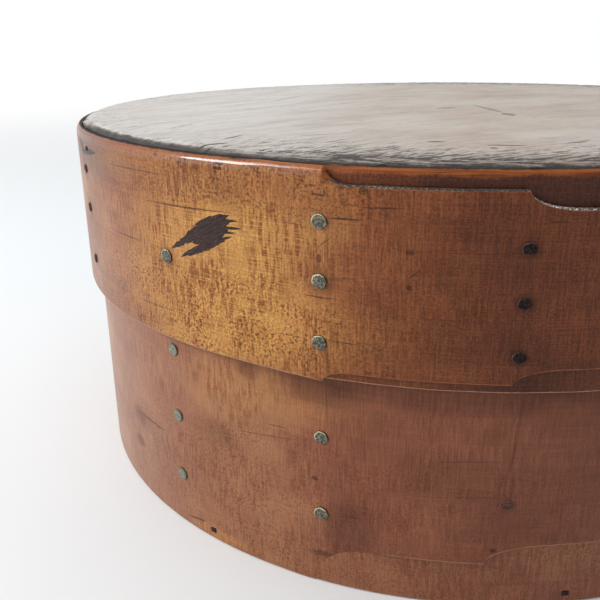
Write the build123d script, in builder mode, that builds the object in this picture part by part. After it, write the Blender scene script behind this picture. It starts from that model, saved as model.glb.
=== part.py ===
"""Round bentwood cheese box: a nailed wooden case and the deep lid that slips over it.

Millimetres. The origin is the middle of the foot, +Z is up and -Y is the front.
An azimuth is counted in degrees from the front, and grows towards +X.
"""

import os
from dataclasses import dataclass
from math import acos, cos, degrees, radians, sin

from build123d import *

os.makedirs("parts", exist_ok=True)

# Whole box
lid_radius = 195.0
rim_height = 169.0
lid_depth = 75.7

# Bent strips
strip_thickness = 2.9
tongue_thickness = 1.2
layer_gap = 0.2
base_lap_thickness = 1.3

# Fits
lid_clearance = 0.4
lid_seat_gap = 0.3
board_clearance = 0.5
cut_overrun = 5.0

# Boards
lid_board_thickness = 13.0
lid_board_proud = 2.0
lid_board_edge_radius = 1.8
base_board_thickness = 12.0
base_board_edge_chamfer = 0.8
base_joint_gap = 0.4
base_joint_offset = 46.0

# Where the overlaps lie, as azimuths
lid_kink_azimuth = -10.3
lid_lap_azimuths = (-10.6, 8.0)
lid_lap_end_azimuth = 29.5
lid_tongue_azimuth = -57.0
base_kink_azimuth = -10.7
base_lap_azimuths = (-12.4, 7.2)
base_lap_end_azimuth = 29.5
base_tongue_azimuth = -38.5

# Shoulders of the overlaps: how long each is, and how far it draws the edge in
lid_first_shoulder_length = 10.0
lid_second_shoulder_length = 18.0
lid_first_upper_draw = 5.6
lid_second_upper_draw = 6.0
lid_first_lower_draw = 4.4
lid_second_lower_draw = 5.4
base_first_shoulder_length = 27.0
base_second_shoulder_length = 24.0
base_first_upper_draw = 12.0
base_second_upper_draw = 8.0
base_first_lower_draw = 20.0
base_second_lower_draw = 8.2

# Tacks of green copper and of iron
copper_head_radius = 3.0
copper_head_thickness = 0.9
iron_head_radius = 2.5
iron_head_thickness = 0.6
flush_head_thickness = 0.5
head_edge_share = 0.45
head_seat_gap = 0.05
shank_radius = 0.9
shank_clearance = 0.08
tip_recess = 0.1
clinch_length = 3.6
clinch_radius = 0.6

# Cut nails
nail_length = 22.0
nail_width = 1.7
nail_head_width = 2.9
nail_head_height = 2.2
nail_head_thickness = 0.5
nail_count = 8
nail_clearance = 0.08
base_nail_height = 4.4
lid_nail_height = 3.9
base_nail_azimuth = 17.2
lid_nail_azimuth = -6.7

# Tack columns: azimuth, and heights as shares of their hoop's height
lid_start_azimuth = -10.9
lid_start_shares = (0.198, 0.493, 0.762)
lid_middle_azimuth = 8.35
lid_middle_shares = (0.197, 0.445, 0.684)
lid_end_azimuth = 27.0
lid_end_shares = (0.23, 0.5, 0.77)
lid_tongue_column_azimuth = -53.6
lid_tongue_column_shares = (0.219, 0.543, 0.777)
lid_single_azimuth = -31.3
lid_single_shares = (0.464,)
base_start_azimuth = -11.4
base_start_shares = (0.214, 0.426, 0.64, 0.85)
base_middle_azimuth = 9.1
base_middle_shares = (0.297, 0.64, 0.85)
base_end_azimuth = 26.5
base_end_shares = (0.26, 0.45, 0.64, 0.82)
base_tongue_column_azimuth = -33.4
base_tongue_column_shares = (0.161, 0.346, 0.542, 0.74, 0.92)

# Heights and radii that follow
lid_bottom = rim_height - lid_depth
lid_board_top = rim_height + lid_board_proud
lid_board_bottom = lid_board_top - lid_board_thickness
base_height = lid_board_bottom - lid_seat_gap
base_radius = lid_radius - strip_thickness - lid_clearance - base_lap_thickness - layer_gap


@dataclass
class Hoop:
    """A strip bent round until its ends overlap, the outer one drawn in by two shoulders."""

    radius: float
    lap_thickness: float
    bottom: float
    height: float
    kink_azimuth: float
    lap_azimuths: tuple
    lap_end_azimuth: float
    tongue_azimuth: float
    shoulder_lengths: tuple
    upper_draws: tuple
    lower_draws: tuple

    @property
    def top(self):
        return self.bottom + self.height

    @property
    def inner_radius(self):
        return self.radius - strip_thickness

    @property
    def lap_inner_radius(self):
        return self.radius + layer_gap

    @property
    def lap_radius(self):
        return self.lap_inner_radius + self.lap_thickness

    @property
    def tongue_radius(self):
        return self.inner_radius - layer_gap

    @property
    def tongue_inner_radius(self):
        return self.tongue_radius - tongue_thickness

    @property
    def lift_azimuth(self):
        """Where the outer end leaves the round and runs straight to the kink."""
        return self.kink_azimuth - leaving_angle(self.radius, self.lap_radius)

    @property
    def inner_start_azimuth(self):
        """Where the inner face of the inner layer joins the round again."""
        return self.lift_azimuth + leaving_angle(self.tongue_inner_radius, self.inner_radius)


def leaving_angle(small_radius, large_radius):
    """Angle from where a straight line leaves a circle to where it meets a larger one."""
    return degrees(acos(small_radius / large_radius))


def place(radius, azimuth):
    return radius * sin(radians(azimuth)), -radius * cos(radians(azimuth))


def ring_arc(radius, start_azimuth, end_azimuth):
    return CenterArc((0, 0), radius, start_azimuth - 90, end_azimuth - start_azimuth)


lid_hoop = Hoop(
    radius=lid_radius,
    lap_thickness=strip_thickness,
    bottom=lid_bottom,
    height=lid_depth,
    kink_azimuth=lid_kink_azimuth,
    lap_azimuths=lid_lap_azimuths,
    lap_end_azimuth=lid_lap_end_azimuth,
    tongue_azimuth=lid_tongue_azimuth,
    shoulder_lengths=(lid_first_shoulder_length, lid_second_shoulder_length),
    upper_draws=(lid_first_upper_draw, lid_second_upper_draw),
    lower_draws=(lid_first_lower_draw, lid_second_lower_draw),
)

base_hoop = Hoop(
    radius=base_radius,
    lap_thickness=base_lap_thickness,
    bottom=0,
    height=base_height,
    kink_azimuth=base_kink_azimuth,
    lap_azimuths=base_lap_azimuths,
    lap_end_azimuth=base_lap_end_azimuth,
    tongue_azimuth=base_tongue_azimuth,
    shoulder_lengths=(base_first_shoulder_length, base_second_shoulder_length),
    upper_draws=(base_first_upper_draw, base_second_upper_draw),
    lower_draws=(base_first_lower_draw, base_second_lower_draw),
)


def bent_strip(hoop):
    """The whole strip at full height: the outer end, once round, then the thin inner tongue."""
    lift = hoop.lift_azimuth
    kink = lift + leaving_angle(hoop.radius, hoop.lap_radius)
    lap_foot = lift + leaving_angle(hoop.inner_radius, hoop.lap_inner_radius)
    full_start = lift + leaving_angle(hoop.tongue_radius, hoop.radius)
    inner_start = hoop.inner_start_azimuth
    with BuildPart() as strip:
        with BuildSketch(Plane.XY.offset(hoop.bottom)):
            with BuildLine():
                ring_arc(hoop.lap_radius, kink, hoop.lap_end_azimuth)
                Line(place(hoop.lap_radius, hoop.lap_end_azimuth), place(hoop.lap_inner_radius, hoop.lap_end_azimuth))
                ring_arc(hoop.lap_inner_radius, lap_foot, hoop.lap_end_azimuth)
                Line(place(hoop.lap_inner_radius, lap_foot), place(hoop.inner_radius, lift))
                ring_arc(hoop.inner_radius, inner_start, lift + 360)
                Line(place(hoop.inner_radius, inner_start), place(hoop.tongue_inner_radius, lift))
                ring_arc(hoop.tongue_inner_radius, hoop.tongue_azimuth, lift)
                Line(
                    place(hoop.tongue_inner_radius, hoop.tongue_azimuth),
                    place(hoop.tongue_radius, hoop.tongue_azimuth),
                )
                ring_arc(hoop.tongue_radius, hoop.tongue_azimuth, lift)
                Line(place(hoop.tongue_radius, lift), place(hoop.radius, full_start))
                ring_arc(hoop.radius, full_start, lift + 360)
                Line(place(hoop.radius, lift), place(hoop.lap_radius, kink))
            make_face()
        extrude(amount=hoop.height)
    return strip.part


def shoulder_outline(hoop, edge_height, overrun, draws):
    """Outline of the waste beyond one edge of the overlap, seen from the front."""
    rising = overrun < 0
    arc_start = 90 if rising else 180
    first, second = (hoop.lap_radius * sin(radians(azimuth)) for azimuth in hoop.lap_azimuths)
    end = hoop.lap_radius * sin(radians(hoop.lap_end_azimuth)) + cut_overrun
    first_end = first + hoop.shoulder_lengths[0]
    second_end = second + hoop.shoulder_lengths[1]
    beyond = edge_height + overrun
    first_height = edge_height + draws[0] if rising else edge_height - draws[0]
    last_height = first_height + draws[1] if rising else first_height - draws[1]
    with BuildSketch() as outline:
        with BuildLine():
            Line((first, beyond), (first, edge_height))
            EllipticalCenterArc(
                (first_end, edge_height), hoop.shoulder_lengths[0], draws[0], arc_start, arc_size=90
            )
            Line((first_end, first_height), (second, first_height))
            EllipticalCenterArc(
                (second_end, first_height), hoop.shoulder_lengths[1], draws[1], arc_start, arc_size=90
            )
            Line((second_end, last_height), (end, last_height))
            Line((end, last_height), (end, beyond))
            Line((end, beyond), (first, beyond))
        make_face()
    return outline.sketch


def lap_waste(hoop):
    """What is cut from the outer end above and below its shoulders, down to the inner layer."""
    flat_distance = hoop.inner_radius - layer_gap / 2
    with BuildPart() as waste:
        with BuildSketch(Plane.XZ):
            add(shoulder_outline(hoop, hoop.top, cut_overrun, hoop.upper_draws))
            add(shoulder_outline(hoop, hoop.bottom, -cut_overrun, hoop.lower_draws))
        extrude(amount=hoop.lap_radius + cut_overrun)
        with BuildSketch(Plane.XY.offset(hoop.bottom - 2 * cut_overrun)):
            Circle(hoop.radius + layer_gap / 2)
            with Locations(Location(place(flat_distance, hoop.lift_azimuth), hoop.lift_azimuth - 90)):
                Rectangle(
                    hoop.radius,
                    hoop.radius,
                    align=(Align.MIN, Align.CENTER),
                    mode=Mode.SUBTRACT,
                )
        extrude(amount=hoop.height + 4 * cut_overrun, mode=Mode.SUBTRACT)
    return waste.part


def tack_plane(hoop, azimuth, height):
    """The outer face at one place: round, on the straight run to the kink, or on the overlap."""
    if azimuth < hoop.lift_azimuth or azimuth > hoop.lap_end_azimuth:
        normal_azimuth = azimuth
        distance = hoop.radius
    elif azimuth < hoop.kink_azimuth:
        normal_azimuth = hoop.lift_azimuth
        distance = hoop.radius / cos(radians(azimuth - hoop.lift_azimuth))
    else:
        normal_azimuth = azimuth
        distance = hoop.lap_radius
    x, y = place(distance, azimuth)
    outward = (*place(1, normal_azimuth), 0)
    return Plane(origin=(x, y, height), x_dir=(0, 0, 1), z_dir=outward)


def grip(hoop, azimuth):
    """How much wood a tack goes through."""
    if azimuth < hoop.inner_start_azimuth:
        return hoop.radius - hoop.tongue_inner_radius
    if azimuth < hoop.kink_azimuth:
        slant = radians(azimuth - hoop.lift_azimuth)
        return hoop.radius - hoop.inner_radius * cos(slant) + shank_radius * sin(slant)
    return hoop.lap_radius - hoop.inner_radius


def tack(head_radius, head_thickness, depth, clinched):
    """A tack whose head lies on the plane and whose shank runs down from it."""
    edge = head_thickness * head_edge_share
    with BuildPart() as body:
        with BuildSketch(Plane.XY.offset(head_seat_gap)):
            Circle(head_radius)
        extrude(amount=head_thickness)
        chamfer(body.faces().sort_by(Axis.Z)[-1].edges(), edge)
        with BuildSketch(Plane.XY.offset(head_seat_gap)):
            Circle(shank_radius)
        extrude(amount=-depth - head_seat_gap)
        if clinched:
            with BuildSketch(Plane.YZ.offset(-shank_radius / 2)):
                with Locations((0, -depth)):
                    Circle(clinch_radius)
            extrude(amount=clinch_length)
    return body.part


def sink_of(hoop, height):
    """How deep a head is let into the base where the lid slides over it."""
    covered = hoop is base_hoop and height + copper_head_radius > lid_bottom - lid_clearance
    return flush_head_thickness + head_seat_gap if covered else 0


def column_heights(hoop, shares):
    return [hoop.bottom + hoop.height * share for share in shares]


def tack_column(name, hoop, azimuth, shares, head_radius, head_thickness):
    """One upright row of tacks, each in a place of its own on the hoop."""
    with BuildPart() as column:
        for height in column_heights(hoop, shares):
            sink = sink_of(hoop, height)
            thickness = flush_head_thickness if sink else head_thickness
            clinched = hoop is base_hoop
            reach = clinch_radius + head_seat_gap if clinched else -tip_recess
            depth = grip(hoop, azimuth) + reach - sink
            with Locations(tack_plane(hoop, azimuth, height).offset(-sink)):
                add(tack(head_radius, thickness, depth, clinched))
    column.part.label = name
    export_step(column.part, f"parts/{name}.step")


def tack_holes(hoop, azimuth, shares, head_radius):
    """Room for one row of tacks, with a seat for each head that is let in."""
    with BuildPart() as holes:
        for height in column_heights(hoop, shares):
            sink = sink_of(hoop, height)
            with BuildSketch(tack_plane(hoop, azimuth, height).offset(cut_overrun)):
                Circle(shank_radius + shank_clearance)
            extrude(amount=-2 * cut_overrun - grip(hoop, azimuth))
            if sink:
                with BuildSketch(tack_plane(hoop, azimuth, height).offset(-sink)):
                    Circle(head_radius + shank_clearance)
                extrude(amount=cut_overrun)
    return holes.part


def nail_azimuths(first):
    return [first + number * 360 / nail_count for number in range(nail_count)]


def nail_plane(hoop, azimuth, height, above_lap):
    """The face that a nail head lies on: a nail beyond the shoulders misses the outer layer."""
    wrapped = (azimuth + 180) % 360 - 180
    if above_lap and hoop.lift_azimuth < wrapped < hoop.lap_end_azimuth:
        x, y = place(hoop.radius, wrapped)
        return Plane(origin=(x, y, height), x_dir=(0, 0, 1), z_dir=(*place(1, wrapped), 0))
    return tack_plane(hoop, wrapped, height)


def nail():
    """A cut nail with a small flat head."""
    with BuildPart() as body:
        with BuildSketch(Plane.XY.offset(head_seat_gap)):
            Rectangle(nail_head_height, nail_head_width)
        extrude(amount=nail_head_thickness)
        with BuildSketch(Plane.XY.offset(head_seat_gap)):
            Rectangle(nail_width, nail_width)
        with BuildSketch(Plane.XY.offset(-nail_length)):
            Rectangle(nail_width / 2, nail_width / 2)
        loft()
    return body.part


def nail_room():
    """Room for a nail, driven through the hoop into the board behind it."""
    with BuildPart() as room:
        with BuildSketch(Plane.XY.offset(cut_overrun)):
            Rectangle(nail_width + 2 * nail_clearance, nail_width + 2 * nail_clearance)
        extrude(amount=-nail_length - nail_clearance - cut_overrun)
    return room.part


def nail_ring(name, hoop, first, height, above_lap):
    """The nails that hold a board in its hoop, evenly round it."""
    with BuildPart() as ring:
        for azimuth in nail_azimuths(first):
            with Locations(nail_plane(hoop, azimuth, height, above_lap)):
                add(nail())
    ring.part.label = name
    export_step(ring.part, f"parts/{name}.step")


def nail_holes(hoop, first, height, above_lap):
    with BuildPart() as holes:
        for azimuth in nail_azimuths(first):
            with Locations(nail_plane(hoop, azimuth, height, above_lap)):
                add(nail_room())
    return holes.part


def tongue_room(hoop, low, high):
    """The strip shaved off a board where the hoop's tongue lies inside."""
    shaved = hoop.tongue_inner_radius - board_clearance
    beyond = hoop.inner_radius + cut_overrun
    lift = hoop.lift_azimuth
    tip = hoop.tongue_azimuth - degrees(board_clearance / shaved)
    run_out = lift + leaving_angle(shaved, beyond)
    with BuildPart() as room:
        with BuildSketch(Plane.XY.offset(low)):
            with BuildLine():
                ring_arc(shaved, tip, lift)
                Line(place(shaved, lift), place(beyond, run_out))
                ring_arc(beyond, tip, run_out)
                Line(place(beyond, tip), place(shaved, tip))
            make_face()
        extrude(amount=high - low)
    return room.part


def bottom_board(name, near_side):
    """One of the two boards of the bottom, on one side of their joint."""
    half_gap = base_joint_gap / 2
    radius = base_hoop.inner_radius - board_clearance
    with BuildPart() as board:
        with BuildSketch():
            Circle(radius)
            with Locations((0, base_joint_offset - half_gap if near_side else base_joint_offset + half_gap)):
                Rectangle(
                    2 * radius,
                    2 * radius,
                    align=(Align.CENTER, Align.MAX if near_side else Align.MIN),
                    mode=Mode.INTERSECT,
                )
        extrude(amount=base_board_thickness)
        chamfer(board.edges().group_by(Axis.Z)[-1], base_board_edge_chamfer)
        add(base_tongue_room, mode=Mode.SUBTRACT)
        add(base_nail_holes, mode=Mode.SUBTRACT)
    board.part.label = name
    export_step(board.part, f"parts/{name}.step")


lid_nail_level = lid_board_bottom + lid_nail_height
lid_columns = (
    ("lid_lap_start_tacks", lid_start_azimuth, lid_start_shares, copper_head_radius, copper_head_thickness),
    ("lid_lap_middle_tacks", lid_middle_azimuth, lid_middle_shares, iron_head_radius, iron_head_thickness),
    ("lid_lap_end_tacks", lid_end_azimuth, lid_end_shares, copper_head_radius, copper_head_thickness),
    (
        "lid_inner_end_tacks",
        lid_tongue_column_azimuth,
        lid_tongue_column_shares,
        iron_head_radius,
        iron_head_thickness,
    ),
    ("lid_single_tack", lid_single_azimuth, lid_single_shares, copper_head_radius, copper_head_thickness),
)
base_columns = (
    ("base_lap_start_tacks", base_start_azimuth, base_start_shares, copper_head_radius, copper_head_thickness),
    ("base_lap_middle_tacks", base_middle_azimuth, base_middle_shares, iron_head_radius, iron_head_thickness),
    ("base_lap_end_tacks", base_end_azimuth, base_end_shares, copper_head_radius, copper_head_thickness),
    (
        "base_inner_end_tacks",
        base_tongue_column_azimuth,
        base_tongue_column_shares,
        copper_head_radius,
        copper_head_thickness,
    ),
)

# Tacks and nails
for name, azimuth, shares, head_radius, head_thickness in lid_columns:
    tack_column(name, lid_hoop, azimuth, shares, head_radius, head_thickness)
for name, azimuth, shares, head_radius, head_thickness in base_columns:
    tack_column(name, base_hoop, azimuth, shares, head_radius, head_thickness)
nail_ring("base_bottom_nails", base_hoop, base_nail_azimuth, base_nail_height, True)
nail_ring("lid_top_nails", lid_hoop, lid_nail_azimuth, lid_nail_level, False)
base_nail_holes = nail_holes(base_hoop, base_nail_azimuth, base_nail_height, True)
lid_nail_holes = nail_holes(lid_hoop, lid_nail_azimuth, lid_nail_level, False)
base_tongue_room = tongue_room(base_hoop, -cut_overrun, base_board_thickness + cut_overrun)
lid_tongue_room = tongue_room(lid_hoop, lid_board_bottom - cut_overrun, lid_board_top + cut_overrun)

# Hoop of the lid
with BuildPart() as lid_band:
    add(bent_strip(lid_hoop))
    add(lap_waste(lid_hoop), mode=Mode.SUBTRACT)
    add(lid_nail_holes, mode=Mode.SUBTRACT)
    for _, azimuth, shares, head_radius, _ in lid_columns:
        add(tack_holes(lid_hoop, azimuth, shares, head_radius), mode=Mode.SUBTRACT)
lid_band.part.label = "lid_band"
export_step(lid_band.part, "parts/lid_band.step")

# Hoop of the base
with BuildPart() as base_band:
    add(bent_strip(base_hoop))
    add(lap_waste(base_hoop), mode=Mode.SUBTRACT)
    add(base_nail_holes, mode=Mode.SUBTRACT)
    for _, azimuth, shares, head_radius, _ in base_columns:
        add(tack_holes(base_hoop, azimuth, shares, head_radius), mode=Mode.SUBTRACT)
base_band.part.label = "base_band"
export_step(base_band.part, "parts/base_band.step")

# Board of the lid, let into its hoop and standing a little proud of the rim
with BuildPart() as lid_board:
    with BuildSketch(Plane.XY.offset(lid_board_bottom)):
        Circle(lid_hoop.inner_radius - board_clearance)
    extrude(amount=lid_board_thickness)
    fillet(lid_board.edges().group_by(Axis.Z)[-1], lid_board_edge_radius)
    add(lid_tongue_room, mode=Mode.SUBTRACT)
    add(lid_nail_holes, mode=Mode.SUBTRACT)
lid_board.part.label = "lid_board"
export_step(lid_board.part, "parts/lid_board.step")

# Two boards of the bottom
bottom_board("bottom_front_board", True)
bottom_board("bottom_back_board", False)
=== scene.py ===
import math
import bpy
from mathutils import Matrix, Vector, noise


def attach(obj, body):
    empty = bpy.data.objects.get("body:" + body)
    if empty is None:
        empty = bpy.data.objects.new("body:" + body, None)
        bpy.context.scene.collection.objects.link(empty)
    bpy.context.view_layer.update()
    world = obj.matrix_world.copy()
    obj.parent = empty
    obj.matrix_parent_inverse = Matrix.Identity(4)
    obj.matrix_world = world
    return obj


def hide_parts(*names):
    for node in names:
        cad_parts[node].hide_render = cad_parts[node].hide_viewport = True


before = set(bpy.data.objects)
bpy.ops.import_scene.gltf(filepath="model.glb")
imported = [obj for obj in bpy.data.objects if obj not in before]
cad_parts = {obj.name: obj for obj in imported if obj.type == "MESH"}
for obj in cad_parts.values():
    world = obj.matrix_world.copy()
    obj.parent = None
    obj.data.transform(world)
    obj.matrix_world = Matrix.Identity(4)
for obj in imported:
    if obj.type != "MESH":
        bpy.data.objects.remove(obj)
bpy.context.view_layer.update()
print("frame loaded")

# lengths are in metres, azimuths in degrees from the front, growing to the right;
# the texture of a strip starts at runStart and covers runSpan degrees, more than once round
strip = {"thickness": 0.0029, "tongue": 0.0012, "gap": 0.0002, "runStart": 30, "runSpan": 480}

lidHoop = {
    "radius": 0.195, "lap": 0.0029, "bottom": 0.0933, "top": 0.169,
    "kink": -10.3, "lapEnd": 29.5, "tongueEnd": -57.0, "shoulders": (-10.6, 8.0),
    "lengths": (0.010, 0.018), "upperDraws": (0.0056, 0.006), "lowerDraws": (0.0044, 0.0054),
    "rows": 20, "edgeRound": 0.0009, "swell": -0.00012, "dive": 9.8, "pared": 0.0, "rimWear": 0.0017,
}

baseHoop = {
    "radius": 0.1902, "lap": 0.0013, "bottom": 0.0, "top": 0.1577,
    "kink": -10.7, "lapEnd": 29.5, "tongueEnd": -38.5, "shoulders": (-12.4, 7.2),
    "lengths": (0.027, 0.024), "upperDraws": (0.012, 0.008), "lowerDraws": (0.020, 0.0082),
    "rows": 32, "edgeRound": 0.0005, "swell": -0.00015, "dive": 5.2, "pared": 8.5, "rimWear": 0.0006,
}


# ---- modelling helpers
def clearSelection():
    if bpy.context.object and bpy.context.object.mode != "OBJECT":
        bpy.ops.object.mode_set(mode="OBJECT")
    bpy.ops.object.select_all(action="DESELECT")


def pick(*pieces):
    clearSelection()
    for piece in pieces:
        piece.select_set(True)
    bpy.context.view_layer.objects.active = pieces[0]


def wearEdges(piece, width, segments):
    # rounds the edges a little, then applies every modifier
    worn = piece.modifiers.new("wornEdges", "BEVEL")
    worn.width = width
    worn.segments = segments
    worn.limit_method = "ANGLE"
    worn.angle_limit = math.radians(60)
    pick(piece)
    for modifier in list(piece.modifiers):
        bpy.ops.object.modifier_apply(modifier=modifier.name)


def shadeSmooth(piece, degrees):
    pick(piece)
    bpy.ops.object.shade_smooth_by_angle(angle=math.radians(degrees))


def editAll():
    bpy.ops.object.mode_set(mode="EDIT")
    bpy.ops.mesh.select_all(action="SELECT")


def extrude(x, y, z):
    bpy.ops.mesh.extrude_region_move(TRANSFORM_OT_translate={"value": (x, y, z)})


def startPiece(name):
    piece = bpy.context.object
    piece.name = name
    piece.data.name = name
    return piece


def settle(piece):
    pick(piece)
    bpy.ops.object.transform_apply(location=True, rotation=True, scale=True)


def selectFaces(piece, chosen):
    bpy.ops.object.mode_set(mode="OBJECT")
    for part in (piece.data.vertices, piece.data.edges):
        for element in part:
            element.select = False
    for face in piece.data.polygons:
        face.select = chosen(face)
    bpy.ops.object.mode_set(mode="EDIT")
    bpy.ops.mesh.select_mode(type="FACE")


# ---- node helpers
class Value:
    # an output of a node; plain arithmetic with it adds the nodes that do it
    def __init__(self, socket):
        self.socket = socket

    def __add__(self, other):
        return calc("ADD", self, other)

    def __radd__(self, other):
        return calc("ADD", other, self)

    def __sub__(self, other):
        return calc("SUBTRACT", self, other)

    def __rsub__(self, other):
        return calc("SUBTRACT", other, self)

    def __mul__(self, other):
        return calc("MULTIPLY", self, other)

    def __truediv__(self, other):
        return calc("DIVIDE", self, other)


def feed(node, key, value):
    if isinstance(value, Value):
        node.id_data.links.new(value.socket, node.inputs[key])
    else:
        node.inputs[key].default_value = value


def addNode(tree, kind, inputs=None, **settings):
    node = tree.nodes.new(kind)
    for key, value in settings.items():
        setattr(node, key, value)
    for key, value in (inputs or {}).items():
        feed(node, key, value)
    return node


def outputsOf(node):
    return {socket.name: Value(socket) for socket in node.outputs}


def output(tree, kind, name, inputs=None, **settings):
    return Value(addNode(tree, kind, inputs, **settings).outputs[name])


def treeOf(*values):
    return next(value.socket.id_data for value in values if isinstance(value, Value))


def calc(operation, first, second=0.0, third=0.0, clamp=False):
    tree = treeOf(first, second, third)
    return output(tree, "ShaderNodeMath", 0, {0: first, 1: second, 2: third}, operation=operation, use_clamp=clamp)


def mulAdd(first, second, third, clamp=False):
    return calc("MULTIPLY_ADD", first, second, third, clamp)


def smooth(value, low, high, start=0.0, end=1.0):
    # a soft step from start to end while the value goes from low to high
    inputs = {"Value": value, "From Min": low, "From Max": high, "To Min": start, "To Max": end}
    return output(treeOf(value), "ShaderNodeMapRange", "Result", inputs, interpolation_type="SMOOTHSTEP", clamp=True)


def vectorMath(operation, first, second=None):
    inputs = {0: first} if second is None else {0: first, 1: second}
    name = "Value" if operation in ("LENGTH", "DOT_PRODUCT") else "Vector"
    return output(treeOf(first), "ShaderNodeVectorMath", name, inputs, operation=operation)


def stretch(place, factors):
    return vectorMath("MULTIPLY", place, factors)


def split(place):
    return outputsOf(addNode(treeOf(place), "ShaderNodeSeparateXYZ", {0: place}))


def mottle(place, factors, detail=2.0, roughness=0.5, distortion=0.0):
    inputs = {
        "Vector": stretch(place, factors), "Scale": 1.0, "Detail": detail, "Roughness": roughness,
        "Distortion": distortion}
    return output(treeOf(place), "ShaderNodeTexNoise", "Fac", inputs)


def blendColour(factor, first, second, mode="MIX", tree=None):
    tree = tree or treeOf(factor, first, second)
    inputs = {
        key: (*value, 1) if isinstance(value, tuple) else value
        for key, value in ((0, factor), (6, first), (7, second))}
    return output(tree, "ShaderNodeMix", 2, inputs, data_type="RGBA", blend_type=mode, clamp_factor=True)


def stained(colour, amount, tint):
    return blendColour(amount, colour, blendColour(1.0, colour, tint, "MULTIPLY", treeOf(amount)))


def colourRamp(value, stops):
    # a stop is a position and a colour, or a position and a grey
    node = addNode(treeOf(value), "ShaderNodeValToRGB", {"Fac": value})
    elements = node.color_ramp.elements
    while len(elements) < len(stops):
        elements.new(0.5)
    for element, (position, colour) in zip(elements, stops):
        element.position = position
        element.color = (*colour, 1) if isinstance(colour, tuple) else (colour, colour, colour, 1)
    return Value(node.outputs["Color"])


def newGroup(name, inputs, outputs):
    tree = bpy.data.node_groups.new(name, "ShaderNodeTree")
    for label, value in inputs.items():
        kind = "NodeSocketFloat" if isinstance(value, float) else "NodeSocketVector"
        socket = tree.interface.new_socket(label, in_out="INPUT", socket_type=kind)
        if value is not None:
            socket.default_value = value
    for label in outputs:
        tree.interface.new_socket(label, in_out="OUTPUT", socket_type="NodeSocketFloat")
    given = outputsOf(tree.nodes.new("NodeGroupInput"))
    return tree, given, tree.nodes.new("NodeGroupOutput")


def placeGroup(group, inputs):
    return outputsOf(addNode(treeOf(*inputs.values()), "ShaderNodeGroup", inputs, node_tree=group))


def newFinish(name):
    finish = bpy.data.materials.new(name)
    finish.use_nodes = True
    return finish, finish.node_tree, finish.node_tree.nodes["Principled BSDF"]


def setRelief(skin, height, strength, distance):
    inputs = {"Strength": strength, "Distance": distance, "Height": height}
    feed(skin, "Normal", output(skin.id_data, "ShaderNodeBump", "Normal", inputs))


# ---- effects that several finishes share
def makeWoodFigure():
    # streaks across the strip, flecks, and fine lines along it; Place is in metres, x along the grain
    tree, given, out = newGroup(
        "woodFigure", {"Place": None, "Streaks": 1.0, "Flecks": 1.0, "Lines": 1.0},
        ("Streaks", "Flecks", "Lines", "Pins", "Clouds", "Height"))
    place = given["Place"]
    clouds = mottle(place, (16, 22, 1), 3, 0.55)
    patches = smooth(mottle(place, (48, 46, 1), 2), 0.34, 0.58, 0.15, 1.0)
    wide = smooth(mottle(place, (620, 100, 1), 3, 0.6, 0.15), 0.47, 0.58)
    thin = smooth(mottle(place, (1700, 85, 1), 2, 0.6), 0.44, 0.62)
    lines = mottle(place, (45, 2000, 1), 2, 0.6)
    patches = patches * smooth(lines, 0.42, 0.56, 0.45, 1.15)
    streaks = mulAdd(thin, 0.5, wide * 0.9, clamp=True) * patches
    spread = smooth(mottle(place, (80, 100, 1), 2), 0.35, 0.6, 0.25, 1.0)
    flecks = smooth(mottle(place, (900, 760, 1), 2, 0.6), 0.50, 0.58) * spread
    broad = mottle(place, (14, 400, 1), 2, 0.6, 0.2)
    both = lines * 0.65 + broad * 0.35
    pins = mottle(place, (1550, 85, 1), 2, 0.6)
    feed(out, "Streaks", streaks * given["Streaks"])
    feed(out, "Flecks", flecks * given["Flecks"])
    feed(out, "Lines", mulAdd(both - 0.5, given["Lines"], 0.5))
    feed(out, "Pins", pins)
    feed(out, "Clouds", clouds)
    feed(out, "Height", mulAdd(lines - streaks, 0.5, 0.5))
    return tree


markInputs = {"Place": None, "Centre": (0, 0, 0), "Along": (1, 0, 0), "Across": (0, 1, 0), "Wobble": 0.0}


def markPlace(given):
    # the place within a mark, in shares of its half length and its half width
    offset = vectorMath("SUBTRACT", given["Place"], given["Centre"])
    return [vectorMath("DOT_PRODUCT", offset, given[side]) for side in ("Along", "Across")]


def makeHairMark():
    # one thin tapering mark, such as a crack, a scratch or a fibre of a scorch
    tree, given, out = newGroup("hairMark", {**markInputs, "Gaps": 1.0, "Broken": 0.3}, ("Mask",))
    along, up = markPlace(given)
    across = calc("ABSOLUTE", up + given["Wobble"])
    taper = calc("SUBTRACT", 1.0, along * along, clamp=True)
    inside = smooth(across / calc("MAXIMUM", taper, 0.001), 1.15, 0.55)
    ends = smooth(taper, 0.0, 0.12)
    kept = 1.0 - given["Broken"] * (1.0 - given["Gaps"])
    feed(out, "Mask", inside * ends * kept)
    return tree


def makeSoftSpot():
    # one oval stain, halo or worn place with a ragged or a soft border
    tree, given, out = newGroup("softSpot", {**markInputs, "Softness": 0.3}, ("Mask",))
    along, up = markPlace(given)
    edge = calc("SQRT", mulAdd(along, along, up * up)) + given["Wobble"]
    low = 1.0 - given["Softness"]
    high = 1.0 + given["Softness"]
    feed(out, "Mask", smooth(edge, high, low))
    return tree


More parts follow.
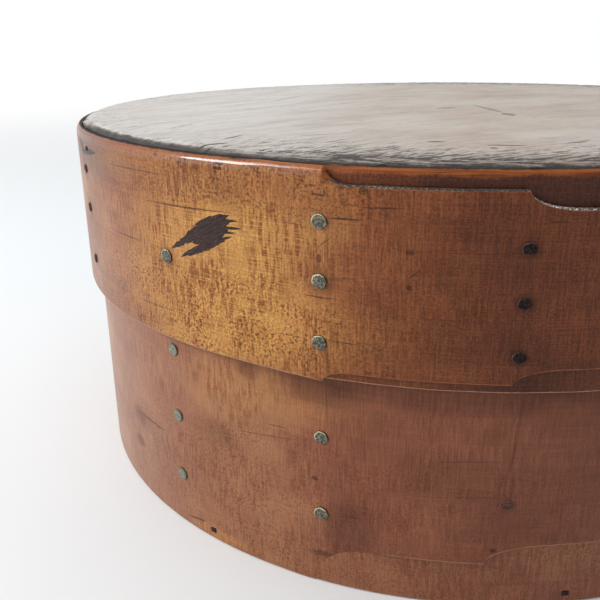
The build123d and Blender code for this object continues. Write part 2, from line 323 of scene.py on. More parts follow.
def makeEdgeRub():
    # where hands have rubbed the finish off along an edge; FromEdge and Reach are in metres
    tree, given, out = newGroup(
        "edgeRub", {"Place": None, "FromEdge": 0.01, "Reach": 0.001, "Uneven": 0.6, "Softness": 0.28}, ("Mask",))
    uneven = mottle(given["Place"], (120, 160, 160), 4, 0.65) - 0.5
    fine = mottle(given["Place"], (900, 900, 900), 2, 0.6) - 0.5
    both = mulAdd(fine, 0.5, uneven)
    reach = given["Reach"] * mulAdd(both * given["Uneven"], 4.0, 1.0)
    share = given["FromEdge"] / calc("MAXIMUM", reach, 0.00002)
    feed(out, "Mask", smooth(share, 1.0 + given["Softness"], 1.0 - given["Softness"]))
    return tree


woodFigure = makeWoodFigure()
hairMark = makeHairMark()
softSpot = makeSoftSpot()
edgeRub = makeEdgeRub()
print("shared effects made")

# ---- the bent hoops
# how both are worn and pared, in metres and degrees
wearing = {
    "edgeReach": 0.004, "ripple": 0.0003, "rimHeight": 0.0036, "pareBefore": 5.2, "pareAfter": 5, "pareHeight": 0.016,
}


def runShare(azimuth):
    return (strip["runStart"] - azimuth) / strip["runSpan"]


def leavingAngle(small, large):
    return math.degrees(math.acos(small / large))


def lapRadius(hoop):
    return hoop["radius"] + strip["gap"] + hoop["lap"]


def liftAzimuth(hoop):
    return hoop["kink"] - leavingAngle(hoop["radius"], lapRadius(hoop))


def slanted(radius, turn, largest):
    # radius of a straight run that leaves a circle, after this much turn
    if turn <= 0:
        return radius
    if turn >= 80:
        return largest
    return min(radius / math.cos(math.radians(turn)), largest)


def hoopRadii(hoop, azimuth):
    # inner and outer radius of the strip: the outer end, once round, then the thin tongue
    radius = hoop["radius"]
    inner = radius - strip["thickness"]
    lift = liftAzimuth(hoop)
    if azimuth > lift:
        rise = min(1, (azimuth - lift) / hoop["dive"])
        ramp = inner + rise * (strip["thickness"] + strip["gap"])
        return (
            max(slanted(inner, azimuth - lift, radius + strip["gap"]), ramp),
            slanted(radius, azimuth - lift, lapRadius(hoop)),
        )
    under = azimuth + 360 - lift
    tongueOuter = inner - strip["gap"]
    tongueInner = tongueOuter - strip["tongue"]
    rise = min(1, max(0, under / hoop["dive"]))
    return (
        slanted(tongueInner, under, inner),
        max(slanted(tongueOuter, under, radius), tongueOuter + rise * (radius - tongueOuter)),
    )


def shoulderDraw(run, start, length, draw):
    share = min(max((run - start) / length, 0), 1)
    return draw * math.sqrt(1 - (1 - share) ** 2)


def hoopEdges(hoop, azimuth):
    # lower and upper edge of the strip, drawn in by two shoulders towards its outer end
    lower, upper = hoop["bottom"], hoop["top"]
    if azimuth > hoop["shoulders"][0]:
        run = lapRadius(hoop) * math.sin(math.radians(azimuth))
        for number, shoulder in enumerate(hoop["shoulders"]):
            start = lapRadius(hoop) * math.sin(math.radians(shoulder))
            lower += shoulderDraw(run, start, hoop["lengths"][number], hoop["lowerDraws"][number])
            upper -= shoulderDraw(run, start, hoop["lengths"][number], hoop["upperDraws"][number])
    return lower, upper


columnSteps = ((-60, 0.5), (-322, 1.0), (-372, 0.6), (-999, 1.5))  # down to which azimuth, and how far apart


def columnAzimuths(hoop):
    # where the flat strip is divided: closely at the shoulders, widely at the back
    places = []
    azimuth = hoop["lapEnd"]
    while azimuth > hoop["tongueEnd"] - 360:
        places.append(azimuth)
        nearShoulder = min(abs(azimuth - shoulder - 0.6) for shoulder in hoop["shoulders"])
        azimuth -= 0.12 if nearShoulder < 1.3 else next(step for down, step in columnSteps if azimuth > down)
    places.append(hoop["tongueEnd"] - 360)
    return places


def rowHeights(hoop, height):
    # where the flat strip is divided in height: closely at both edges
    near = (0, 0.0013, 0.0023, wearing["rimHeight"])
    count = hoop["rows"]
    between = [near[-1] + (height - 2 * near[-1]) * number / count for number in range(1, count)]
    return [*near, *between, *(height - step for step in reversed(near))]


def makeHoop(name, hoop):
    places = columnAzimuths(hoop)
    radius, height = hoop["radius"], hoop["top"] - hoop["bottom"]
    rows = rowHeights(hoop, height)
    clearSelection()
    bpy.ops.mesh.primitive_grid_add(x_subdivisions=len(places) - 1, y_subdivisions=len(rows) - 1, size=1)
    piece = startPiece(name)
    for vertex in piece.data.vertices:  # the flat strip, at its real length and height
        column = round((vertex.co.x + 0.5) * (len(places) - 1))
        vertex.co.x = -math.radians(places[column]) * radius
        vertex.co.y = rows[round((vertex.co.y + 0.5) * (len(rows) - 1))]
    layer = piece.modifiers.new("thickness", "SOLIDIFY")
    layer.thickness = strip["thickness"]
    layer.offset = -1
    wearEdges(piece, hoop["edgeRound"], 3)
    uvLayer = piece.data.uv_layers.active or piece.data.uv_layers.new(name="UVMap")
    uvLayer.name = "run"
    flat = [vertex.co.copy() for vertex in piece.data.vertices]
    for face in piece.data.polygons:
        if face.normal.z < -0.5:
            face.material_index = 1  # the inside stays bare
    fromEdge = piece.data.attributes.new("fromEdge", "FLOAT", "POINT")
    for loop in piece.data.loops:  # one length and height for the whole strip
        place = flat[loop.vertex_index]
        azimuth = math.degrees(-place.x / radius)
        low, high = hoopEdges(hoop, azimuth)
        level = low + place.y / height * (high - low)
        uvLayer.data[loop.index].uv = (runShare(azimuth), level)
    for number, (vertex, place) in enumerate(zip(piece.data.vertices, flat)):  # bent round
        azimuth = math.degrees(-place.x / radius)
        depth = 1 + place.z / strip["thickness"]
        inner, outer = hoopRadii(hoop, azimuth)
        low, high = hoopEdges(hoop, azimuth)
        share = place.y / height
        turn = math.radians(azimuth)
        level = low + share * (high - low)
        nearEdge = max(min(share, 1 - share), 0) * (high - low)
        run = azimuth - hoop["shoulders"][0]
        if hoop["pared"] and -wearing["pareBefore"] < run < hoop["pared"]:
            # the cut end is pared down to almost nothing where it starts
            before, after = 1 + run / wearing["pareBefore"], min(1, (hoop["pared"] - run) / wearing["pareAfter"])
            pared = after if run > 0 else before
            pared *= max(0, 1 - (level - low) / wearing["pareHeight"])
            outer -= pared * max(0, outer - radius - 0.00004)
            inner = min(inner, outer - 0.0002)
            nearEdge += pared * wearing["edgeReach"] if run >= 0 else 0
        wear = min(hoop["rimWear"], 0.55 * (outer - inner)) * max(0, 1 - max(0, run) / 1.5)
        outer -= wear * max(0, 1 - (high - level) / wearing["rimHeight"]) ** 2  # the rim is worn round
        spot = Vector((math.sin(turn), -math.cos(turn), level * 9))
        swell = hoop["swell"] * (0.5 + 0.5 * noise.noise(spot * 2.2))
        fromEdge.data[number].value = nearEdge
        fade = max(0, 1 - nearEdge / wearing["edgeReach"])
        ripple = wearing["ripple"] * (0.5 + 0.5 * noise.noise(Vector((azimuth * 0.35, share * 3, 1.7)))) * fade
        if share > 0.5:
            ripple = -ripple
        distance = inner + depth * (outer - inner) + swell
        vertex.co = (distance * math.sin(turn), -distance * math.cos(turn), level + (ripple if level > 0.003 else 0))
    shadeSmooth(piece, 40)
    print(name, len(piece.data.polygons), "faces")
    return piece


lidBand = makeHoop("lidBand", lidHoop)
baseBand = makeHoop("baseBand", baseHoop)

# ---- boards
lidBoardSizes = {
    "radius": 0.1916, "bottom": 0.158, "top": 0.171, "edges": 480, "edgeDrop": 0.0022, "edgeReach": 0.0055,
    "shavedRadius": 0.1903, "shavedFrom": -57.4, "shavedTo": -14.0, "grainTurn": 58.0, "grainDepth": 0.00028,
    "roughDepth": 0.0001, "pullReach": 0.012, "ring": 0.0005, "ringGrowth": 1.12, "widestRing": 0.0058,
    "middle": 0.012,
}


def edgeAt(sizes, azimuth):
    if sizes["shavedFrom"] < azimuth < sizes["shavedTo"]:
        return sizes["shavedRadius"]
    return sizes["radius"]


def makeLidBoard(name, sizes):
    clearSelection()
    bpy.ops.mesh.primitive_circle_add(
        vertices=sizes["edges"], radius=sizes["radius"], fill_type="NGON", location=(0, 0, sizes["bottom"]))
    piece = startPiece(name)
    settle(piece)
    editAll()
    thickness = sizes["top"] - sizes["bottom"]
    for height in (thickness * 0.5, thickness * 0.3, thickness * 0.1, thickness * 0.1):
        extrude(0, 0, height)
    left = sizes["radius"]
    width = sizes["ring"]
    while left - width > sizes["middle"]:  # rings that grow wider inwards
        bpy.ops.mesh.inset(thickness=width, depth=0)
        left -= width
        width = min(width * sizes["ringGrowth"], sizes["widestRing"])
    bpy.ops.mesh.poke()
    bpy.ops.object.mode_set(mode="OBJECT")
    turn = math.radians(sizes["grainTurn"])
    for vertex in piece.data.vertices:
        x, y, z = vertex.co
        distance = math.hypot(x, y)
        azimuth = math.degrees(math.atan2(x, -y))
        fromEdge = sizes["radius"] - distance
        pull = (sizes["radius"] - edgeAt(sizes, azimuth)) * max(0, 1 - fromEdge / sizes["pullReach"])
        if distance > 0:
            vertex.co.x -= x / distance * pull
            vertex.co.y -= y / distance * pull
        if z > sizes["bottom"] + thickness * 0.6:
            along = x * math.cos(turn) + y * math.sin(turn)
            across = -x * math.sin(turn) + y * math.cos(turn)
            grain = noise.fractal(Vector((along * 28, across * 420, 0.3)), 1.0, 2.0, 3)
            rough = noise.fractal(Vector((along * 90, across * 900, 2.3)), 1.0, 2.0, 2)
            chips = noise.noise(Vector((azimuth * 0.5, 3.1, 0.7)))
            chips += 0.5 * noise.noise(Vector((azimuth * 2.1, 5.1, 0.7)))
            worn = max(0, 1 - fromEdge / sizes["edgeReach"]) ** 2
            drop = sizes["edgeDrop"] * worn * (1 + 0.5 * chips)
            drop += sizes["grainDepth"] * (0.5 + 0.5 * grain) * (1 + worn)
            vertex.co.z -= drop + sizes["roughDepth"] * rough * (1 + 2 * worn)
            vertex.co.z = min(vertex.co.z, sizes["top"])
    shadeSmooth(piece, 50)
    print(name, len(piece.data.polygons), "faces")
    return piece


lidBoard = makeLidBoard("lidBoard", lidBoardSizes)

bottomSizes = {
    "radius": 0.1868, "thickness": 0.012, "joint": 0.046, "gap": 0.0004, "edgeRound": 0.0008,
    "shavedFrom": -39.5, "shavedTo": -10.0, "shavedRadius": 0.1854,
}


def makeBottomBoard(name, sizes, nearSide):
    clearSelection()
    bpy.ops.mesh.primitive_circle_add(vertices=240, radius=sizes["radius"], fill_type="NGON")
    piece = startPiece(name)
    editAll()
    cut = sizes["joint"] + (-sizes["gap"] / 2 if nearSide else sizes["gap"] / 2)
    bpy.ops.mesh.bisect(
        plane_co=(0, cut, 0), plane_no=(0, 1, 0), clear_outer=nearSide, clear_inner=not nearSide)
    bpy.ops.mesh.select_all(action="SELECT")
    extrude(0, 0, sizes["thickness"])
    bpy.ops.mesh.select_all(action="SELECT")
    bpy.ops.mesh.normals_make_consistent(inside=False)
    bpy.ops.object.mode_set(mode="OBJECT")
    wearEdges(piece, sizes["edgeRound"], 2)
    shadeSmooth(piece, 40)
    for vertex in piece.data.vertices:
        azimuth = math.degrees(math.atan2(vertex.co.x, -vertex.co.y))
        distance = math.hypot(vertex.co.x, vertex.co.y)
        if sizes["shavedFrom"] < azimuth < sizes["shavedTo"] and distance > sizes["shavedRadius"] + 0.0001:
            vertex.co.x *= sizes["shavedRadius"] / distance
            vertex.co.y *= sizes["shavedRadius"] / distance
    return piece


frontBoard = makeBottomBoard("bottomFrontBoard", bottomSizes, True)
backBoard = makeBottomBoard("bottomBackBoard", bottomSizes, False)
print("boards made")


# ---- tacks and nails
copperTack = {
    "head": 0.0029, "thickness": 0.0009, "shank": 0.0009, "sides": 7, "facets": 0.9, "dents": 0.00014,
    "seat": -0.00010, "oval": 0.04, "wide": 1.05,
}
ironTack = {
    "head": 0.0024, "thickness": 0.0006, "shank": 0.0009, "sides": 6, "facets": 0.8, "dents": 0.00018,
    "seat": -0.00022, "oval": 0.07, "wide": 1.13,
}
flushTack = {**copperTack, "thickness": 0.0003, "seat": -0.00005, "dents": 0.00005}  # where the lid slides over

# name, hoop, azimuth, shares of the hoop's height, kind, body, node
tackColumns = (
    ("lidLapStartTacks", lidHoop, -10.9, (0.198, 0.493, 0.762), copperTack, "lid", "lid_lap_start_tacks"),
    ("lidLapMiddleTacks", lidHoop, 8.35, (0.197, 0.445, 0.684), ironTack, "lid", "lid_lap_middle_tacks"),
    ("lidLapEndTacks", lidHoop, 27.0, (0.23, 0.5, 0.77), copperTack, "lid", "lid_lap_end_tacks"),
    ("lidInnerEndTacks", lidHoop, -53.6, (0.219, 0.543, 0.777), ironTack, "lid", "lid_inner_end_tacks"),
    ("lidSingleTack", lidHoop, -31.3, (0.464,), copperTack, "lid", "lid_single_tack"),
    ("baseLapStartTacks", baseHoop, -11.4, (0.214, 0.426, 0.64, 0.85), copperTack, "case", "base_lap_start_tacks"),
    ("baseLapMiddleTacks", baseHoop, 9.1, (0.297, 0.64, 0.85), ironTack, "case", "base_lap_middle_tacks"),
    ("baseLapEndTacks", baseHoop, 26.5, (0.26, 0.45, 0.64, 0.82), copperTack, "case", "base_lap_end_tacks"),
    ("baseInnerEndTacks", baseHoop, -33.4, (0.161, 0.346, 0.542, 0.74, 0.92), copperTack, "case",
     "base_inner_end_tacks"),
)


def facePlace(hoop, azimuth, level, lifted=True):
    # the outer face at one place, with x to the right, y up and z outwards
    lift = liftAzimuth(hoop)
    distance, facing = hoop["radius"], azimuth
    if lifted and lift < azimuth < hoop["kink"]:
        distance, facing = hoop["radius"] / math.cos(math.radians(azimuth - lift)), lift
    elif lifted and hoop["kink"] <= azimuth < hoop["lapEnd"]:
        distance = lapRadius(hoop)
    turn, look = math.radians(azimuth), math.radians(facing)
    outward = Vector((math.sin(look), -math.cos(look), 0))
    right = Vector((0, 0, 1)).cross(outward)
    axes = Matrix((right, (0, 0, 1), outward)).transposed().to_4x4()
    return Matrix.Translation((distance * math.sin(turn), -distance * math.cos(turn), level)) @ axes


def gripLength(hoop, azimuth):
    inner = hoop["radius"] - strip["thickness"]
    tongueInner = inner - strip["gap"] - strip["tongue"]
    if azimuth < hoop["kink"]:
        return hoop["radius"] - (tongueInner if azimuth < liftAzimuth(hoop) + 4 else inner)
    return lapRadius(hoop) - inner


def makeTack(sizes, depth, clinched):
    # a head on z = 0 with its shank going down, and a point that is turned over if clinched
    head, thickness = sizes["head"], sizes["thickness"]
    clearSelection()
    bpy.ops.mesh.primitive_circle_add(vertices=28, radius=head, fill_type="NGON", location=(0, 0, 0))
    piece = startPiece("tack")
    editAll()
    extrude(0, 0, thickness * 0.55)
    extrude(0, 0, thickness * 0.3)
    bpy.ops.transform.resize(value=(0.94, 0.94, 1))
    for step in range(5):
        bpy.ops.mesh.inset(thickness=head * 0.15, depth=thickness * (0.06 if step == 0 else 0.02))
    bpy.ops.mesh.poke()
    selectFaces(piece, lambda face: face.normal.z < -0.5)
    bpy.ops.mesh.inset(thickness=head - sizes["shank"], depth=0)
    extrude(0, 0, -depth + (0.0004 if clinched else 0.0018))
    if clinched:
        for height, side in ((-0.0006, 0.0001), (-0.0002, 0.0009), (0.0001, 0.0014), (0.0002, 0.0012)):
            extrude(0, side, height)
            bpy.ops.transform.resize(value=(0.8, 0.75, 0.75))
    else:
        extrude(0, 0, -0.0018)
        bpy.ops.transform.resize(value=(0.15, 0.15, 1))
    bpy.ops.object.mode_set(mode="OBJECT")
    uvLayer = piece.data.uv_layers.active or piece.data.uv_layers.new(name="UVMap")
    uvLayer.name = "disc"
    for loop in piece.data.loops:
        place = piece.data.vertices[loop.vertex_index].co
        uvLayer.data[loop.index].uv = (0.5 + place.x / head / 2, 0.5 + place.y / head / 2)
    return piece


def hammer(piece, sizes, seed):
    # every head is a little different: its sides, its turn and its dents
    noise.seed_set(seed + 11)
    draw = noise.random_vector()
    sides = sizes["sides"] + round(draw.x * 1.2)
    facets = sizes["facets"] * (0.75 + 0.3 * draw.y)
    start = draw.z * 3
    wide = sizes["wide"] + sizes["oval"] * noise.random_vector().x
    for vertex in piece.data.vertices:
        x, y, z = vertex.co
        distance = math.hypot(x, y)
        if z < -0.00001 or distance < 0.00001:
            continue
        angle = math.atan2(y, x)
        share = (angle - start) % (2 * math.pi / sides) - math.pi / sides
        flat = math.cos(math.pi / sides) / math.cos(share)
        rounded = Vector((math.cos(angle) * 1.3, math.sin(angle) * 1.3, seed * 3.7))
        lumpy = 1 + 0.05 * noise.noise(rounded)
        scale = (1 - facets + facets * flat) * lumpy * 0.99
        vertex.co.x = x * scale * wide
        vertex.co.y = y * scale / wide
        if z > sizes["thickness"] * 0.4:
            spot = Vector((x * 900, y * 900, seed * 5.3))
            vertex.co.z += sizes["dents"] * (noise.noise(spot) + 0.6 * noise.noise(spot * 2.3))


def placeCopy(original, name, matrix):
    copy = original.copy()
    copy.data = original.data.copy()
    copy.name = copy.data.name = name
    bpy.context.scene.collection.objects.link(copy)
    copy.data.transform(matrix)
    return copy


def joinPieces(name, parts):
    pick(*parts)
    bpy.ops.object.join()
    piece = startPiece(name)
    shadeSmooth(piece, 38)
    return piece


def removeOriginal(piece):
    clearSelection()
    mesh = piece.data
    bpy.data.objects.remove(piece)
    bpy.data.meshes.remove(mesh)


tackPieces = []
for number, (name, hoop, azimuth, shares, kind, body, node) in enumerate(tackColumns):
    copies = []
    for place, share in enumerate(shares):
        level = hoop["bottom"] + (hoop["top"] - hoop["bottom"]) * share
        covered = hoop is baseHoop and level + 0.003 > lidHoop["bottom"] - 0.0004
        sizes = flushTack if covered else kind  # the base's tacks are clinched inside, the lid's end in its board
        depth = gripLength(hoop, azimuth) + (0.0005 if hoop is baseHoop else -0.0002)
        original = makeTack(sizes, depth, hoop is baseHoop)
        hammer(original, sizes, number * 7 + place * 3)
        sink = Matrix.Translation((0, 0, sizes["seat"]))
        copies.append(placeCopy(original, name + str(place), facePlace(hoop, azimuth, level) @ sink))
        removeOriginal(original)
    piece = joinPieces(name, copies)
    tackPieces.append((piece, body, node, kind is ironTack))
print("tacks made")

# ---- nails
cutNail = {
    "width": 0.0029, "height": 0.0022, "thickness": 0.0005, "length": 0.022, "round": 0.0004,
    "uneven": 0.00008, "seat": -0.00032,
}
lidNail = {
    **cutNail, "width": 0.0024, "height": 0.0019, "thickness": 0.0004, "round": 0.0012, "uneven": 0.00003,
    "seat": -0.00036,
}


def makeNail(sizes):
    clearSelection()
    scale = (sizes["width"], sizes["height"], sizes["thickness"])
    bpy.ops.mesh.primitive_cube_add(size=1, location=(0, 0, sizes["thickness"] / 2), scale=scale)
    piece = startPiece("nail")
    settle(piece)
    editAll()
    bpy.ops.mesh.bevel(offset=sizes["round"] * 0.5, segments=2)
    selectFaces(piece, lambda face: face.normal.z < -0.9)
    bpy.ops.mesh.inset(thickness=0.0003, depth=0)
    for taper in ((0.8, 0.9, 1), (0.5, 0.6, 1)):
        extrude(0, 0, -sizes["length"] * 0.5)
        bpy.ops.transform.resize(value=taper)
    selectFaces(piece, lambda face: face.normal.z > 0.9)
    bpy.ops.mesh.subdivide(number_cuts=4)
    bpy.ops.object.mode_set(mode="OBJECT")
    return piece


# name, hoop, first azimuth, level, kind, body, node
nailRings = (
    ("baseBottomNails", baseHoop, 17.2, 0.0044, cutNail, "case", "base_bottom_nails"),
    ("lidTopNails", lidHoop, -6.7, 0.1619, lidNail, "lid", "lid_top_nails"),
)
nailCount = 8
nailPieces = []
for name, hoop, first, level, kind, body, node in nailRings:
    copies = []
    for number in range(nailCount):
        azimuth = (first + number * 360 / nailCount + 180) % 360 - 180
        original = makeNail(kind)
        noise.seed_set(number + 40)
        for vertex in original.data.vertices:
            if vertex.co.z > 0:
                draw = noise.random_vector()
                vertex.co.x *= 1 + 0.06 * draw.x
                vertex.co.y *= 1 + 0.10 * draw.y
                vertex.co.z += kind["uneven"] * draw.z
        tilt = Matrix.Rotation(math.radians(9 * math.sin(number * 2.1)), 4, "Z")
        place = facePlace(hoop, azimuth, level, kind is lidNail) @ Matrix.Translation((0, 0, kind["seat"])) @ tilt
        copies.append(placeCopy(original, name + str(number), place))
        removeOriginal(original)
    nailPieces.append((joinPieces(name, copies), body, node))
print("nails made")


# ---- finishes of the two bent strips
# cracks, scorches, stains with painted shadows, and gold spots with painted sheen are in degrees and millimetres, all
# else in metres
lidLook = {
    # azimuth and darkness: the wood's own tone together with painted light, lighter on the side towards the window and
    # darker away from it
    "tonesAndPaintedLight": (
        (29, 0.88), (16, 0.87), (7, 0.82), (0, 0.74), (-6, 0.65), (-10.5, 0.5), (-13, 0.38), (-17, 0.28), (-24, 0.2),
        (-31, 0.25), (-37, 0.4), (-44, 0.57), (-50, 0.62), (-62, 0.54), (-90, 0.48), (-130, 0.62), (-170, 0.55),
        (-210, 0.7), (-250, 0.6), (-290, 0.72), (-325, 0.8), (-343, 0.86), (-353, 0.88), (-358, 0.78), (-363, 0.64),
        (-375, 0.6), (-380, 0.9),
    ),
    "levelShare": -0.12, "toneAndShadeByLevel": ((0.55, 0.06), (0.62, 0.0), (0.86, 0.0), (0.9, 0.1), (0.94, 0.27), (0.99, 0.22)),
    "palette": (
        (0.0, (0.8, 0.475, 0.145)), (0.14, (0.61, 0.318, 0.085)), (0.35, (0.415, 0.186, 0.058)),
        (0.6, (0.258, 0.085, 0.03)), (0.82, (0.15, 0.043, 0.016)), (1, (0.072, 0.02, 0.01)),
    ),
    "weave": (1, -0.06), "grain": (0.69, 1.28), "specks": 0.6, "streak": (0.44, 0.26, 0.19),
    "fleck": (0.42, 0.26, 0.19), "worn": (0.375, 0.106, 0.025), "wornReach": 0.0019,
    "wornAmount": (
        (29, 0.75), (-10, 0.8), (-14, 0.7), (-30, 0.65), (-42, 0.45), (-56, 0.15), (-200, 0.3), (-320, 0.5),
        (-343, 0.85), (-369, 0.9), (-374, 0.3),
    ),
    "rub": 0.0006, "rubAmount": 0.75,
    # colour of the thin rubbed line along the edges; on the lid it is paler on the left, towards the window, as
    # painted highlight
    "rubAndHighlight": (
        (29, (0.34, 0.115, 0.045)), (-9, (0.34, 0.115, 0.045)), (-15, (0.5, 0.27, 0.165)), (-32, (0.5, 0.27, 0.165)),
        (-50, (0.77, 0.6, 0.485)), (-120, (0.59, 0.38, 0.27)), (-374, (0.5, 0.27, 0.165)),
    ),
    "sheen": 0.36, "polish": 0.9, "fleckFrom": 0.124, "rimFlecks": 1,
    # paler on the left side, towards the window and the edge of the view: painted sheen of the bright room
    "paleShare": ((29, 0.0), (-34, 0.0), (-46, 0.1), (-60, 0.2), (-85, 0.08), (-374, 0.0)), "paintedSheenColour": (0.6, 0.46, 0.36),
    # golden spots: the wood's golden colour with painted sheen on the side towards the window
    "goldAndSheen": (0.62, 0.3, 0.075), "goldAndSheenSpots": ((-19, 112, 45, 12, 0.6, 0.7, 0.25), (-37, 160.5, 30, 6, 0.6, 0.7, 0.2)),
    "dust": (
        (29, 0.35), (13.5, 0.4), (12, 0.95), (8.4, 0.95), (7.6, 0.1), (0, 0.1), (-4, 0.22), (-7, 0.3), (-9, 0.05),
        (-20, 0.05),
    ),
    "gloss": (
        (29, 0.1), (-10, 0.15), (-13.5, 0.85), (-30, 1), (-37, 0.5), (-45, 0.2), (-90, 0.35), (-330, 0.2),
        (-374, 0.1),
    ),
    # azimuth and level of both ends, width, how far it wanders, how broken and how strong it is
    "cracks": (
        (-35.2, 148.5, -20.4, 149.8, 0.7, 1.8, 0.25, 0.85), (-43.6, 159.2, -30, 160, 0.6, 1.8, 0.4, 0.7),
        (-43.6, 131, -34.9, 131.2, 0.6, 1.8, 0.5, 0.8), (-39, 105.4, -30.4, 106.3, 0.6, 1.8, 0.4, 0.7),
        (-15.2, 149.2, -12.6, 148.9, 0.5, 1.2, 0.3, 0.6), (-10.2, 152.5, -6.5, 152.6, 0.9, 1.6, 0.2, 0.9),
        (-6.9, 156.5, -2.8, 156.8, 0.7, 1.6, 0.4, 0.9), (-11.8, 159.9, -10.2, 159.5, 0.7, 0.8, 0.0, 0.9),
        (-10.39, 162.2, -10.39, 159.2, 0.5, 0.6, 0.0, 0.9), (-11.2, 141.8, -9.3, 147.4, 0.5, 1.2, 0.2, 0.6),
        (-13, 124.6, -9, 125.1, 0.7, 1.6, 0.4, 0.8), (-2.3, 133.8, -1.3, 137.3, 0.7, 1, 0.5, 0.9),
        (-10.1, 132.2, -7.1, 132.7, 0.6, 1.6, 0.5, 0.5), (-10, 109.6, -7, 109.4, 0.6, 1.6, 0.3, 0.75),
        (-16.3, 108.2, -12.4, 108.8, 0.5, 1.6, 0.4, 0.6), (9.7, 153.6, 11.7, 153.5, 0.8, 1.6, 0.4, 0.9),
        (8.45, 156, 8.25, 133, 0.6, 0.8, 0.3, 0.55), (8.45, 125, 8.4, 99, 0.5, 0.8, 0.4, 0.35),
        (-1.6, 120.5, 3.2, 120.8, 0.5, 1.6, 0.5, 0.4), (3, 109, 8, 109.2, 0.5, 1.6, 0.5, 0.4),
        (-98, 152, -83, 152.5, 0.6, 1.8, 0.4, 0.8), (-128, 103.5, -112, 104.5, 0.6, 1.8, 0.4, 0.8),
        (-171, 140.5, -152, 142, 0.7, 1.8, 0.3, 0.8), (-236, 126, -219, 125.5, 0.6, 1.8, 0.4, 0.8),
        (-281, 158, -262, 157, 0.7, 1.8, 0.3, 0.8), (-318, 111, -302, 111.5, 0.6, 1.8, 0.4, 0.8),
    ),
    # azimuth and level of both ends, width, how far it wanders
    "scorch": (
        (-30.6, 131.8, -22.2, 147.2, 4, 0.9), (-28.2, 137.6, -21.4, 146.6, 7.2, 0.6),
        (-27, 136.2, -21.6, 143.6, 5.4, 0.8), (-29, 129.6, -21.2, 141.6, 3.6, 1),
        (-26.4, 143.2, -21.4, 149, 3.4, 0.8), (-23.4, 146.8, -20.4, 147, 1.3, 0.6),
        (-23, 144, -19.9, 144.6, 1.2, 0.6), (-24.4, 141.8, -20.6, 142.8, 1.2, 0.8),
        (-57.4, 165, -52.8, 159, 3.4, 0.9), (-56, 159.2, -47.4, 161.7, 3, 0.8),
        (-54.7, 164.5, -54.3, 156.5, 2.6, 0.8),
    ),
    # azimuth and level, half length, half height, raggedness, softness, strength; so are the gold spots with painted
    # sheen
    "stainsAndShadows": (
        (-31.3, 128.4, 5.2, 5.2, 0.3, 0.45, 0.25), (-10.7, 130.6, 5.5, 5.5, 0.3, 0.4, 0.3),
        (8.3, 145.1, 3.6, 3.4, 0.5, 0.45, 0.5), (8.35, 127, 3.6, 3.4, 0.5, 0.45, 0.5),
        (8.3, 108.2, 3.8, 3.4, 0.6, 0.45, 0.5), (-11, 138.4, 1.1, 1.6, 0.3, 0.3, 0.7),
        (-22.5, 167.1, 1.9, 1, 0.7, 0.2, 1.3), (-22.8, 165, 1.8, 0.6, 1, 0.25, 1.2),
        (-27.3, 167.4, 0.9, 1.2, 0.8, 0.2, 1.2), (-28.2, 165.4, 0.5, 0.5, 0.8, 0.25, 0.8),
        (-32.2, 167.5, 1, 1, 0.8, 0.2, 1.2), (-17.8, 166.2, 0.4, 0.7, 0.8, 0.25, 0.8),
        (-24.9, 167.9, 0.9, 0.4, 1, 0.2, 0.9), (-6.2, 166, 0.4, 0.9, 0.8, 0.25, 0.7),
        (-2.3, 142.8, 1.4, 0.9, 1.6, 0.2, 0.7), (-2.2, 131, 1, 1, 1.6, 0.2, 0.7), (3.5, 150, 10, 4.5, 0.5, 0.6, 0.18),
        (-4.4, 165, 11, 1.6, 0.5, 0.5, 0.35), (-7.2, 165.5, 10, 2.2, 0.4, 0.5, 0.55),
        (-53.6, 134.4, 4, 5, 0.3, 0.5, 0.4), (-54.3, 152.1, 4, 5, 0.3, 0.5, 0.4), (-53.2, 110, 4, 5, 0.3, 0.5, 0.4),
        (-150, 120, 30, 16, 0.5, 0.6, 0.25), (-245, 140, 40, 14, 0.5, 0.6, 0.25),
    ),
}

